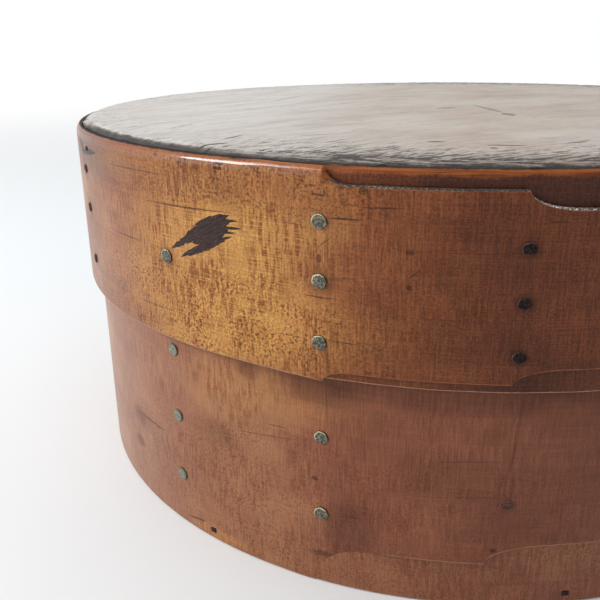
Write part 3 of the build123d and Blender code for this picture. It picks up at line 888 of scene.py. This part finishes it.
baseLook = {
    # azimuth and darkness: the wood's own tone together with painted light, lighter on the side towards the window and
    # darker away from it
    "tonesAndPaintedLight": (
        (29, 0.74), (14, 0.74), (7, 0.7), (0, 0.64), (-6, 0.63), (-10.5, 0.6), (-13, 0.54), (-17, 0.45), (-24, 0.42),
        (-34, 0.47), (-46, 0.52), (-62, 0.46), (-90, 0.52), (-130, 0.66), (-170, 0.6), (-210, 0.7), (-250, 0.62),
        (-290, 0.72), (-325, 0.65), (-344, 0.6), (-360, 0.55), (-372, 0.5), (-420, 0.7),
    ),
    # darker just below the lid's lower edge, where the lid shades the base: painted shade
    "levelShare": 1, "toneAndShadeByLevel": ((0.0, 0.0), (0.46, 0.0), (0.54, 0.05), (0.585, 0.16)),
    "palette": (
        (0.0, (0.64, 0.33, 0.135)), (0.16, (0.485, 0.25, 0.1)), (0.35, (0.358, 0.168, 0.08)),
        (0.6, (0.252, 0.09, 0.048)), (0.82, (0.168, 0.055, 0.029)), (1, (0.092, 0.029, 0.017)),
    ),
    "weave": (0.62, -0.02), "grain": (0.78, 1.18), "specks": 0.35, "streak": (0.6, 0.44, 0.4),
    "fleck": (0.7, 0.52, 0.44), "worn": (0.42, 0.16, 0.06), "wornReach": 0.0016,
    "wornAmount": ((29, 0.3), (-100, 0.4), (-374, 0.3)), "rub": 0.0005, "rubAmount": 0.6,
    "rubAndHighlight": ((29, (0.42, 0.22, 0.145)), (-374, (0.42, 0.22, 0.145))), "sheen": 0.4, "polish": 0.1,
    "fleckFrom": 0.06, "rimFlecks": 0.0,
    # paler on the left side, towards the window and the edge of the view: painted sheen of the bright room
    "paleShare": ((29, 0.0), (-28, 0.0), (-44, 0.12), (-60, 0.22), (-85, 0.08), (-374, 0.0)),
    "paintedSheenColour": (0.58, 0.46, 0.38), "goldAndSheen": (0.56, 0.27, 0.08),
    # golden spots: painted sheen on the side towards the window, and a worn pale patch at the foot
    "goldAndSheenSpots": (
        (-20, 80, 36, 12, 0.6, 0.7, 0.24), (-27, 3, 15, 3, 0.4, 0.5, 0.4), (-40, 80, 26, 10, 0.6, 0.8, 0.05),
    ),
    "dust": ((29, 0.3), (-20, 0.3)), "gloss": ((29, 0.2), (-374, 0.2)),
    "cracks": (
        (9.75, 92.5, 9.2, 60, 1.6, 1.8, 0.5, 0.42), (-44.8, 41.7, -36.8, 42, 1.2, 2.4, 0.2, 0.8),
        (-37.1, 41.2, -36.4, 34.8, 0.7, 1.2, 0.3, 0.6), (-23.8, 59.3, -13.8, 63.4, 0.5, 1.8, 0.7, 0.6),
        (-18.6, 66.8, -15.6, 67, 0.7, 1.4, 0.4, 0.6), (0.2, 63.4, 8.2, 65, 0.6, 1.8, 0.7, 0.5),
        (-2.8, 48.1, 15, 50.7, 0.5, 1.8, 0.8, 0.4), (-9, 35.2, -5.9, 34.2, 0.6, 1.6, 0.5, 0.5),
        (-33, 4, -29, 6.8, 1, 1.6, 0.2, 0.9), (-10.9, 93, -10.7, 72, 0.7, 0.6, 0.3, 0.45),
        (-98, 52, -80, 54, 0.7, 1.8, 0.4, 0.8), (-160, 31, -138, 33, 0.7, 1.8, 0.4, 0.8),
        (-228, 71, -206, 69, 0.7, 1.8, 0.4, 0.8), (-300, 45, -280, 46, 0.7, 1.8, 0.4, 0.8),
    ),
    "scorch": (),
    "stainsAndShadows": (
        # the spots at 86 to 88 mm, just below the lid's edge, are painted shadow of the lid, in the stain colour
        (-8, 28.5, 9.5, 14, 0.5, 0.5, 0.42), (-12, 87, 15, 6, 0.4, 0.6, 0.55), (-21, 88, 5.5, 4, 0.6, 0.5, 0.45),
        (-45, 25, 4, 3, 0.5, 0.5, 0.55), (-44.2, 40.5, 6, 4, 0.5, 0.6, 0.4), (9.05, 46.9, 3.4, 3, 0.3, 0.5, 0.3),
        (8.1, 26.5, 1.1, 1, 0.3, 0.3, 0.8), (-12.2, 48.5, 1.4, 1, 0.6, 0.3, 0.8), (-26.5, 54, 13, 6, 0.5, 0.6, 0.25),
        (4, 56, 22, 10, 0.5, 0.6, 0.22), (3, 86, 26, 4, 0.4, 0.6, 0.3), (-11.4, 13.8, 5.2, 1.4, 0.3, 0.5, 0.6),
        (-120, 50, 30, 16, 0.5, 0.6, 0.25), (-265, 60, 40, 14, 0.5, 0.6, 0.25),
    ),
}

# what both strips have in common; distances are in metres, below the rim or inside the outer face
stripLook = {
    "stainAndShadow": (0.26, 0.20, 0.21), "wornLines": (0.45, 0.36, 0.30), "soot": (0.020, 0.015, 0.013),
    "dirt": (0.040, 0.026, 0.020), "grit": (0.86, 0.81, 0.76), "crack": (0.066, 0.021, 0.012),
    "char": ((0.36, (0.014, 0.008, 0.008)), (0.52, (0.034, 0.017, 0.015)), (0.66, (0.080, 0.038, 0.028))),
    "rimFrom": 0.0048, "rimTo": 0.0030, "flecksFrom": 0.024, "flecksTo": 0.012, "sootFrom": 0.0012, "sootTo": 0.0020,
    "polishFrom": 0.0009, "polishTo": 0.0017, "brushTurn": -0.46, "relief": 0.28,
}


def runLength(hoop):
    return math.radians(strip["runSpan"]) * hoop["radius"]


def runPlace(hoop, azimuth, millimetres):
    return runShare(azimuth) * runLength(hoop), millimetres / 1000


def byAzimuth(sides, table):
    return colourRamp(sides["X"], [(runShare(azimuth), shade) for azimuth, shade in table])


def addMark(total, group, place, centre, turn, halfLength, halfWidth, amount, wobble, **values):
    # one more mark on top of the masks so far
    along, up = math.cos(turn), math.sin(turn)
    mask = placeGroup(group, {
        "Place": place, "Centre": (*centre, 0), "Along": (along / halfLength, up / halfLength, 0),
        "Across": (-up / halfWidth, along / halfWidth, 0), "Wobble": wobble, **values})["Mask"]
    mask = mask * amount
    return mask if total is None else calc("MAXIMUM", total, mask)


def addCracks(place, marks):
    wobble = mottle(place, (260, 260, 1), 3, 0.7) - 0.5
    gaps = smooth(mottle(place, (300, 420, 1), 3, 0.7), 0.3, 0.52)
    total = None
    for start, end, width, wander, broken, amount in marks:
        centre = ((start[0] + end[0]) / 2, (start[1] + end[1]) / 2)
        turn = math.atan2(end[1] - start[1], end[0] - start[0])
        total = addMark(
            total, hairMark, place, centre, turn, math.dist(start, end) / 2, width / 2, amount, wobble * wander,
            Gaps=gaps, Broken=broken)
    return total


def addStripCracks(place, hoop, marks):
    return addCracks(place, [
        (runPlace(hoop, start, low), runPlace(hoop, end, high), width / 1000, *rest)
        for start, low, end, high, width, *rest in marks])


def addSpots(place, border, hoop, spots):
    total = None
    for azimuth, level, halfLength, halfHeight, ragged, softness, amount in spots:
        total = addMark(
            total, softSpot, place, runPlace(hoop, azimuth, level), 0, halfLength / 1000, halfHeight / 1000, amount,
            border * ragged, Softness=softness)
    return total


def varnishedWood(name, hoop, look):
    finish, tree, skin = newFinish(name)
    run = output(tree, "ShaderNodeUVMap", "UV", uv_map="run")
    place = stretch(run, (runLength(hoop), 1, 1))
    sides = split(run)
    fromEdge = output(tree, "ShaderNodeAttribute", "Fac", attribute_name="fromEdge")
    figure = placeGroup(woodFigure, {"Place": place})
    # how dark it is, the wood's own tone with painted light and shade by azimuth, then the colour of that tone
    toneAndPaintedLight = byAzimuth(sides, look["tonesAndPaintedLight"])
    patchy = mottle(place, (28, 40, 1), 4, 0.6) - 0.5
    toneAndPaintedLight = mulAdd(figure["Clouds"] - 0.5, 0.45, toneAndPaintedLight)
    toneAndPaintedLight = mulAdd(patchy, 0.3, toneAndPaintedLight)
    # darker by height: on the lid the wood's own tone near the rim, on the base painted shade just below the lid's
    # edge
    toneAndShadeByHeight = colourRamp(sides["Y"] / hoop["top"], look["toneAndShadeByLevel"])
    toneAndPaintedLight = mulAdd(toneAndShadeByHeight, smooth(sides["X"], runShare(-6), runShare(-16), look["levelShare"], 1.0), toneAndPaintedLight)
    weave = mulAdd(figure["Pins"] - 0.5, 0.7, figure["Lines"] - 0.5)
    toneAndPaintedLight = mulAdd(weave, smooth(toneAndPaintedLight, 0.2, 0.6, *look["weave"]), toneAndPaintedLight, clamp=True)
    colour = colourRamp(toneAndPaintedLight, look["palette"])
    border = mottle(place, (240, 420, 1), 4, 0.7) - 0.5
    # golden spots, partly painted sheen on the side towards the window
    colour = blendColour(addSpots(place, border, hoop, look["goldAndSheenSpots"]), colour, look["goldAndSheen"])
    # streaks and flecks of the wood
    strength = smooth(toneAndPaintedLight, 0.15, 0.95, 1.0, 0.25)
    colour = stained(colour, figure["Streaks"] * strength, look["streak"])
    low = smooth(sides["Y"], look["fleckFrom"] + 0.012, look["fleckFrom"] - 0.004, 0.12, 1.0)
    nearRim = smooth(
        sides["Y"], hoop["top"] - stripLook["flecksFrom"], hoop["top"] - stripLook["flecksTo"], 0.0, look["rimFlecks"])
    low = calc("MAXIMUM", low, nearRim)
    colour = stained(colour, figure["Flecks"] * low * strength, look["fleck"])
    # painted sheen: paler on the left side, towards the window
    colour = blendColour(byAzimuth(sides, look["paleShare"]), colour, look["paintedSheenColour"])
    grain = mulAdd(figure["Pins"], 0.5, figure["Lines"] * 0.5)
    grain = mulAdd(mottle(place, (1000, 1150, 1), 2, 0.75) - 0.5, look["specks"], grain)
    colour = blendColour(1.0, colour, smooth(grain, 0.36, 0.64, *look["grain"]), "MULTIPLY")
    # stains, and on the base painted shadow just below the lid's edge
    colour = stained(colour, addSpots(place, border, hoop, look["stainsAndShadows"]), stripLook["stainAndShadow"])
    # edges: a thin pale line nearly everywhere, rubbed wear that on the lid's left is also a painted highlight, a
    # broad worn band along the rim, and soot inside the rim
    edge = {"Place": place, "FromEdge": fromEdge}
    thin = placeGroup(edgeRub, {**edge, "Reach": look["rub"], "Uneven": 0.35})["Mask"]
    atRim = smooth(sides["Y"], hoop["top"] - stripLook["rimFrom"], hoop["top"] - stripLook["rimTo"])
    rubAndHighlight = thin * mulAdd(atRim, -0.8 * look["rubAmount"], look["rubAmount"])
    colour = blendColour(rubAndHighlight, colour, byAzimuth(sides, look["rubAndHighlight"]))
    broad = placeGroup(edgeRub, {**edge, "Reach": look["wornReach"], "Uneven": 0.4, "Softness": 0.6})["Mask"]
    wornAmount = byAzimuth(sides, look["wornAmount"])
    worn = broad * atRim * wornAmount
    orange = stained(look["worn"], smooth(figure["Lines"], 0.43, 0.60), stripLook["wornLines"])
    colour = blendColour(worn, colour, orange)
    shape = outputsOf(addNode(tree, "ShaderNodeTexCoord"))
    fromAxis = vectorMath("LENGTH", stretch(shape["Object"], (1, 1, 0)))
    ragged = mulAdd(border, 0.0012, fromAxis)
    upwards = split(shape["Normal"])["Z"]
    soot = smooth(ragged, hoop["radius"] - stripLook["sootFrom"], hoop["radius"] - stripLook["sootTo"]) * atRim
    colour = blendColour(soot, colour, stripLook["soot"])
    # grit lies on the ledge that the outer end makes
    lapStart = hoop["shoulders"][0]
    onLap = smooth(sides["X"], runShare(lapStart - 0.3), runShare(lapStart))
    ledge = smooth(upwards, 0.35, 0.6) * onLap * (1.0 - atRim)
    grit = smooth(mottle(shape["Object"], (1300, 1300, 1300), 2, 0.7), 0.50, 0.60)
    dust = byAzimuth(sides, look["dust"])
    colour = blendColour(ledge, colour, blendColour((grit + 0.12) * dust, stripLook["dirt"], stripLook["grit"]))
    colour = blendColour(addStripCracks(place, hoop, look["cracks"]), colour, stripLook["crack"])
    if look["scorch"]:
        burnt = addStripCracks(place, hoop, [(*mark, 0.0, 1.0) for mark in look["scorch"]])
        turned = {"Vector": place, "Rotation": (0, 0, stripLook["brushTurn"])}
        slant = output(tree, "ShaderNodeMapping", "Vector", turned, vector_type="TEXTURE")
        brushed = mottle(slant, (280, 1900, 1), 3, 0.65)
        char = colourRamp(brushed, stripLook["char"])
        gone = smooth(burnt - smooth(brushed, 0.45, 0.68) * 0.55, 0.12, 0.42)
        colour = blendColour(gone, colour, char)
    feed(skin, "Base Color", colour)
    # polish is left along the rim
    rough = mulAdd(figure["Lines"], 0.16, look["sheen"] - 0.08)
    rough = mulAdd(figure["Clouds"] - 0.5, 0.2, rough)
    gloss = byAzimuth(sides, look["gloss"])
    polished = atRim * gloss * smooth(fromEdge, stripLook["polishFrom"], stripLook["polishTo"])
    rough = mulAdd(polished, -0.14, rough)
    feed(skin, "Roughness", calc("MAXIMUM", rough, calc("MAXIMUM", ledge, soot) * 0.8))
    feed(skin, "Coat Weight", mulAdd(polished, look["polish"], 0.05))
    feed(skin, "IOR", 1.5)
    feed(skin, "Specular IOR Level", 0.16)
    feed(skin, "Coat Roughness", 0.09)
    setRelief(skin, mulAdd(figure["Clouds"], 1.2, figure["Height"]), stripLook["relief"], 0.0004)
    return finish


def bareWood(name, pale, dark, length=None):
    # unfinished wood, along a strip of this length or through a board
    finish, tree, skin = newFinish(name)
    if length:
        place = stretch(output(tree, "ShaderNodeUVMap", "UV", uv_map="run"), (length, 1, 1))
    else:
        place = output(tree, "ShaderNodeTexCoord", "Object")
    figure = placeGroup(woodFigure, {"Place": place, "Streaks": 0.6, "Flecks": 0.5, "Lines": 1.6})
    rings = mottle(place, (5, 120, 1), 3, 0.55, 0.6)
    between = tuple((light + deep) / 2 for light, deep in zip(pale, dark))
    colour = colourRamp(figure["Lines"] * 0.5 + rings * 0.5, ((0.28, dark), (0.5, between), (0.7, pale)))
    colour = blendColour(figure["Streaks"] * 0.3, colour, dark)
    grime = smooth(mottle(place, (14, 18, 14), 4, 0.6), 0.5, 0.8, 0.0, 0.55)
    feed(skin, "Base Color", stained(colour, grime, (0.42, 0.36, 0.32)))
    feed(skin, "Roughness", mulAdd(figure["Lines"], 0.2, 0.58))
    feed(skin, "Specular IOR Level", 0.3)
    setRelief(skin, figure["Height"], 0.35, 0.0005)
    return finish


insideLook = {"pale": (0.40, 0.235, 0.125), "lidDark": (0.22, 0.11, 0.055), "baseDark": (0.20, 0.10, 0.05)}
for band, title, hoop, look in ((lidBand, "lid", lidHoop, lidLook), (baseBand, "base", baseHoop, baseLook)):
    band.data.materials.append(varnishedWood(title + "Varnish", hoop, look))
    band.data.materials.append(
        bareWood(title + "Inside", insideLook["pale"], insideLook[title + "Dark"], runLength(hoop)))

boardLook = {
    "bleached": (0.71, 0.68, 0.645), "pale": (0.575, 0.52, 0.465), "warm": (0.51, 0.425, 0.36),
    "dark": (0.16, 0.125, 0.108), "soot": (0.045, 0.034, 0.03),
    "endGrain": ((0.06, 0.048, 0.043), (0.16, 0.135, 0.122)), "dirt": ((0.018, 0.014, 0.013), (0.07, 0.056, 0.05)),
    # in millimetres: x and y of both ends, width; then strength
    "marks": (
        (-82.3, -154.5, -76.7, -136.4, 1.2, 1), (14.8, -156.3, 30, -155.4, 2.4, 1),
        (16.4, -164, 19.4, -162, 2.4, 0.9), (-86, -169, -76.5, -160, 3, 0.95), (-89, -179, -80, -170, 4, 0.95),
        (-6, -150, 2, -149, 3.5, 0.8), (-4, -26, 8, -20, 5.5, 0.5), (16, -3, 30, -46.5, 3.6, 0.5),
        (29, -47, 33, -58, 7, 0.6), (-56, -140, -40, -129, 1.4, 0.8), (-100, 10, -88, 60, 5, 0.25),
        (42, -150, 52, -142, 1.8, 0.7), (-30, -164, -24, -154, 1.6, 0.8), (70, -148, 79, -138, 1.6, 0.7),
        (-115, -124, -108, -102, 1.4, 0.6),
    ),
}


def weatheredBoard(name, sizes, look):
    finish, tree, skin = newFinish(name)
    place = output(tree, "ShaderNodeTexCoord", "Object")
    sides = split(place)
    # the grain runs away to the right, steeper towards the left
    bend = calc("POWER", calc("MAXIMUM", 0.25 - sides["X"], 0.0), 3.0)
    across = mulAdd(sides["X"], -0.45, sides["Y"]) + bend * 2.8
    along = mulAdd(sides["X"], 0.55, sides["Y"] * 0.83)
    grain = output(tree, "ShaderNodeCombineXYZ", "Vector", {"X": along, "Y": across * 0.5, "Z": sides["Z"]})
    flat = stretch(place, (1, 1, 0))
    fromEdge = sizes["radius"] - vectorMath("LENGTH", flat)
    rings = mottle(grain, (22, 95, 1), 4, 0.6, 0.4)
    fleckNoise = mottle(grain, (105, 860, 1), 4, 0.7, 0.3)
    layers = mottle(place, (420, 420, 900), 3, 0.7)
    threadLayers = mottle(place, (95, 95, 3400), 3, 0.75)
    drop = sizes["top"] - sides["Z"]
    threads = mottle(grain, (9, 620, 1), 3, 0.65, 0.2)
    fine = mottle(grain, (180, 1100, 1500), 2, 0.6)
    clouds = mottle(place, (13, 13, 1), 4, 0.6)
    left = smooth(sides["X"], -0.02, -0.11)
    band = left * smooth(sides["X"], -0.168, -0.148)  # the dark edge at the front left
    turned = smooth(drop, 0.0001, 0.0006)
    fleckNoise = output(tree, "ShaderNodeMix", 0, {0: turned, 2: fleckNoise, 3: threadLayers})
    worn = smooth(mulAdd(clouds - 0.5, 0.06, fromEdge), 0.058, 0.0)
    colour = blendColour(smooth(clouds, 0.38, 0.64), look["pale"], look["warm"])
    colour = blendColour(left * 0.85, colour, look["bleached"])
    colour = blendColour(smooth(rings, 0.42, 0.72, 0.0, 0.24), colour, look["dark"])
    colour = blendColour(smooth(fine, 0.5, 0.66, 0.0, 0.35) * mulAdd(worn, 0.7, 0.3), colour, look["dark"])
    colour = blendColour(smooth(threads, 0.5, 0.7, 0.0, 0.22), colour, look["dark"])
    near = fromEdge * mulAdd(left, 2.2, 1.0)
    colour = blendColour(smooth(near, 0.017, 0.0005, 0.0, 0.42), colour, look["dark"])
    # dark flecks: pores that have come open, most of them where the board is worn, and painted shade of the board's
    # shallow ridges
    level = mulAdd(worn, -0.122, mulAdd(left, 0.085, 0.62)) - smooth(near, 0.016, 0.001, 0.0, 0.07)
    level = mulAdd(turned, 0.055, level)
    poresAndRidgeShade = smooth(fleckNoise - level, 0.0, 0.03) * mulAdd(worn, 0.62, 0.3)
    colour = blendColour(poresAndRidgeShade, colour, look["soot"])
    rounded = smooth(mulAdd(layers - 0.5, 0.003, fromEdge), 0.0046, 0.0030)
    edge = rounded * (band * 0.8)
    colour = blendColour(edge, colour, blendColour(smooth(layers, 0.4, 0.62), *look["endGrain"]))
    mark = addCracks(flat, [
        ((x / 1000, y / 1000), (endX / 1000, endY / 1000), width / 1000, 0.8, 0.2, amount)
        for x, y, endX, endY, width, amount in look["marks"]])
    colour = blendColour(mark, colour, look["soot"])
    # dirt along the rim, below it, and in spikes that run in from it
    reach = mulAdd(left, 0.0024, 0.0011)
    rim = placeGroup(edgeRub, {"Place": place, "FromEdge": fromEdge, "Reach": reach, "Uneven": 0.35})["Mask"]
    rim = rim * band
    rim = calc("MAXIMUM", rim, smooth(mulAdd(layers - 0.5, 0.0015, drop), 0.0011, 0.0021))
    spikes = smooth(mulAdd(near, -34.0, fleckNoise), 0.38, 0.43)
    rim = calc("MAXIMUM", rim, spikes * mulAdd(turned, -0.4, 0.4))
    feed(skin, "Base Color", blendColour(rim * 0.95, colour, blendColour(fine, *look["dirt"])))
    feed(skin, "Roughness", mulAdd(fine, 0.2, 0.5))
    feed(skin, "Specular IOR Level", 0.3)
    setRelief(skin, fine * 0.5 - poresAndRidgeShade * 1.2 - mark * 1.5 + rings * 0.5, 0.45, 0.0006)
    return finish


lidBoard.data.materials.append(weatheredBoard("weatheredBoard", lidBoardSizes, boardLook))
bottomLook = {"pale": (0.36, 0.235, 0.14), "dark": (0.19, 0.11, 0.06)}
bottomWood = bareWood("bottomWood", bottomLook["pale"], bottomLook["dark"])
frontBoard.data.materials.append(bottomWood)
backBoard.data.materials.append(bottomWood)
print("wood finished")


# ---- finishes of the tacks and nails
def tarnishedMetal(name, look):
    # pale worn border, paler on its upper left towards the window as painted highlight, darker hammered middle,
    # patches of tarnish, and sides dark as painted shade
    finish, tree, skin = newFinish(name)
    place = output(tree, "ShaderNodeTexCoord", "Object")
    disc = output(tree, "ShaderNodeUVMap", "UV", uv_map="disc")
    centred = vectorMath("SUBTRACT", disc, (0.5, 0.5, 0))
    outwards = vectorMath("LENGTH", centred)
    pits = mottle(place, (1500, 1500, 1500), 1, 0.5)
    patches = mottle(place, (420, 420, 420), 3, 0.6)
    rim = smooth(outwards + (patches - 0.5) * 0.16, look["rimFrom"], look["rimFrom"] + 0.03)
    colour = blendColour(smooth(patches, 0.52, 0.66, 0.0, look["patchy"]), look["middle"], look["tarnish"])
    colour = blendColour(smooth(pits, 0.46, 0.54, 0.0, look["pitted"]), colour, look["pitAndSideShade"])
    # painted highlight: the border is paler on its upper left, towards the window, and fainter on its lower right
    towardsLightUpperLeft = vectorMath("DOT_PRODUCT", centred, (-0.75, 0.85, 0))
    rim = rim * smooth(towardsLightUpperLeft, -0.15, 0.32, look["worn"], 1.0)
    colour = blendColour(rim, colour, look["rim"])
    # painted shade: the sides of the head take the dark colour of the pits
    colour = blendColour(smooth(outwards, 0.488, 0.497), colour, look["pitAndSideShade"])
    feed(skin, "Base Color", colour)
    feed(skin, "Metallic", smooth(patches, 0.35, 0.6, look["metal"], look["metal"] * 0.4))
    feed(skin, "Roughness", mulAdd(pits, 0.35, look["rough"]))
    feed(skin, "Specular IOR Level", look["shine"])
    setRelief(skin, pits, 0.55, 0.0003)
    return finish


copperFinish = tarnishedMetal("greenCopper", {
    "middle": (0.150, 0.138, 0.098), "rim": (0.60, 0.57, 0.39), "tarnish": (0.250, 0.245, 0.180),
    "pitAndSideShade": (0.026, 0.022, 0.016), "rimFrom": 0.425, "patchy": 0.5, "pitted": 0.85, "metal": 0.1, "rough": 0.36,
    "shine": 0.35, "worn": 0.08})
patinaFinish = tarnishedMetal("greenPatina", {
    "middle": (0.225, 0.235, 0.185), "rim": (0.17, 0.175, 0.135), "tarnish": (0.31, 0.33, 0.27),
    "pitAndSideShade": (0.070, 0.065, 0.050), "rimFrom": 0.40, "patchy": 0.7, "pitted": 0.5, "metal": 0.2, "rough": 0.42,
    "shine": 0.3, "worn": 1.0})
ironFinish = tarnishedMetal("darkIron", {
    "middle": (0.028, 0.013, 0.013), "rim": (0.150, 0.078, 0.060), "tarnish": (0.070, 0.030, 0.024),
    "pitAndSideShade": (0.006, 0.004, 0.004), "rimFrom": 0.445, "patchy": 0.6, "pitted": 0.85, "metal": 0.0, "rough": 0.45,
    "shine": 0.12, "worn": 0.6})
stainedFinish = tarnishedMetal("stainedIron", {  # the varnish has run over these
    "middle": (0.120, 0.048, 0.036), "rim": (0.190, 0.082, 0.055), "tarnish": (0.165, 0.070, 0.048),
    "pitAndSideShade": (0.050, 0.022, 0.018), "rimFrom": 0.42, "patchy": 0.8, "pitted": 0.8, "metal": 0.0, "rough": 0.42,
    "shine": 0.15, "worn": 0.6})


def rustyNails(name, *shades):
    finish, tree, skin = newFinish(name)
    patches = mottle(output(tree, "ShaderNodeTexCoord", "Object"), (700, 700, 700), 4, 0.65)
    feed(skin, "Base Color", colourRamp(patches, tuple(zip((0.35, 0.55, 0.7), shades))))
    feed(skin, "Roughness", mulAdd(patches, 0.3, 0.5))
    feed(skin, "Specular IOR Level", 0.15)
    setRelief(skin, patches, 0.6, 0.0003)
    return finish


nailFinish = rustyNails("rustyIron", (0.012, 0.009, 0.008), (0.030, 0.018, 0.014), (0.085, 0.036, 0.020))
coatedNailFinish = rustyNails("coatedIron", (0.070, 0.026, 0.015), (0.120, 0.045, 0.024), (0.170, 0.066, 0.032))
ownFinish = {
    "base_lap_middle_tacks": stainedFinish, "base_inner_end_tacks": patinaFinish, "lid_top_nails": coatedNailFinish}
for piece, body, node, isIron in tackPieces:
    piece.data.materials.append(ownFinish.get(node, ironFinish if isIron else copperFinish))
for piece, body, node in nailPieces:
    piece.data.materials.append(ownFinish.get(node, nailFinish))
print("metal finished")

# ---- camera
viewpoint = {
    "distance": 0.42165, "height": 0.20819, "focalPixels": 728.97, "picturePixels": 600, "yaw": -0.1913,
    "pitch": 0.3503, "roll": -0.0121}


def turnedCamera(view):
    ahead = Matrix(((1, 0, 0), (0, 0, -1), (0, 1, 0)))
    rolled = Matrix.Rotation(view["roll"], 3, "Z")
    tilted = Matrix.Rotation(view["pitch"], 3, "X")
    rows = rolled @ tilted @ ahead @ Matrix.Rotation(view["yaw"], 3, "Z")
    axes = Matrix((rows[0], -rows[1], -rows[2])).transposed()
    return Matrix.Translation((0, -view["distance"], view["height"])) @ axes.to_4x4()


cameraData = bpy.data.cameras.new("camera")
cameraData.sensor_width = 36
cameraData.lens = viewpoint["focalPixels"] / viewpoint["picturePixels"] * cameraData.sensor_width
cameraData.clip_start = 0.01
camera = bpy.data.objects.new("camera", cameraData)
bpy.context.scene.collection.objects.link(camera)
camera.matrix_world = turnedCamera(viewpoint)
bpy.context.scene.camera = camera

# ---- floor and light
room = {
    "floorColour": (0.895, 0.93, 0.95), "fadeFrom": 0.45, "fadeTo": 2.2, "roomLight": 0.86, "roomShade": 0.46,
    "windowPower": 20.0, "windowAzimuth": -64, "windowHeight": 1.05, "windowDistance": 1.6, "windowSize": (0.75, 0.5),
}

clearSelection()
bpy.ops.mesh.primitive_plane_add(size=30, location=(0, 0, -0.0004))
floor = startPiece("floor")
settle(floor)
floorPaint, tree, paint = newFinish("floorPaint")
feed(paint, "Base Color", (*room["floorColour"], 1))
feed(paint, "Roughness", 0.8)
away = vectorMath("LENGTH", output(tree, "ShaderNodeTexCoord", "Object"))
rays = outputsOf(addNode(tree, "ShaderNodeLightPath"))
reflected = calc("MAXIMUM", rays["Is Glossy Ray"], rays["Is Transmission Ray"])
seen = calc("MAXIMUM", rays["Is Camera Ray"], reflected)
white = output(tree, "ShaderNodeEmission", "Emission", {"Color": (1, 1, 1, 1), "Strength": 1.0})
paleShare = seen * smooth(away, room["fadeFrom"], room["fadeTo"])
mixed = output(tree, "ShaderNodeMixShader", "Shader", {0: paleShare, 1: Value(paint.outputs[0]), 2: white})
feed(tree.nodes["Material Output"], "Surface", mixed)
floor.data.materials.append(floorPaint)

world = bpy.data.worlds.new("room")
bpy.context.scene.world = world
world.use_nodes = True
tree = world.node_tree
tree.nodes.clear()
sky = split(output(tree, "ShaderNodeTexCoord", "Generated"))
side = smooth(mulAdd(sky["X"], -0.8, sky["Y"] * 0.6), -0.6, 0.5)
light = mulAdd(side, room["roomLight"] - room["roomShade"], room["roomShade"])
plain = output(tree, "ShaderNodeBackground", "Background", {"Color": (1, 1, 1, 1), "Strength": light})
white = output(tree, "ShaderNodeBackground", "Background", {"Color": (1, 1, 1, 1), "Strength": 1.0})
rays = outputsOf(addNode(tree, "ShaderNodeLightPath"))
mirrored = calc("MAXIMUM", rays["Is Glossy Ray"], rays["Is Transmission Ray"]) * side
seen = calc("MAXIMUM", rays["Is Camera Ray"], mirrored)
mixed = output(tree, "ShaderNodeMixShader", "Shader", {0: seen, 1: plain, 2: white})
feed(addNode(tree, "ShaderNodeOutputWorld"), "Surface", mixed)

lamp = bpy.data.lights.new("window", "AREA")
lamp.shape = "RECTANGLE"
lamp.size, lamp.size_y = room["windowSize"]
lamp.energy = room["windowPower"]
window = bpy.data.objects.new("window", lamp)
bpy.context.scene.collection.objects.link(window)
turn = math.radians(room["windowAzimuth"])
reach = room["windowDistance"]
window.location = (reach * math.sin(turn), -reach * math.cos(turn), room["windowHeight"])
window.rotation_euler = (Vector((0, 0, 0.1)) - window.location).to_track_quat("-Z", "Y").to_euler()

bpy.context.scene.view_settings.view_transform = "Standard"
print("camera, floor and light set")

# ---- dress
for piece, body, node, slot in (
    (lidBand, "lid", "lid_band", "varnished_wood"), (baseBand, "case", "base_band", "varnished_wood"),
    (lidBoard, "lid", "lid_board", "weathered_wood"),
    (frontBoard, "case", "bottom_front_board", "plain_wood"), (backBoard, "case", "bottom_back_board", "plain_wood"),
    *((piece, body, node, "dark_iron" if isIron else "green_copper") for piece, body, node, isIron in tackPieces),
    *((*entry, "dark_iron") for entry in nailPieces),
):
    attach(piece, body)
    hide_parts(node)
print("pieces dressed")
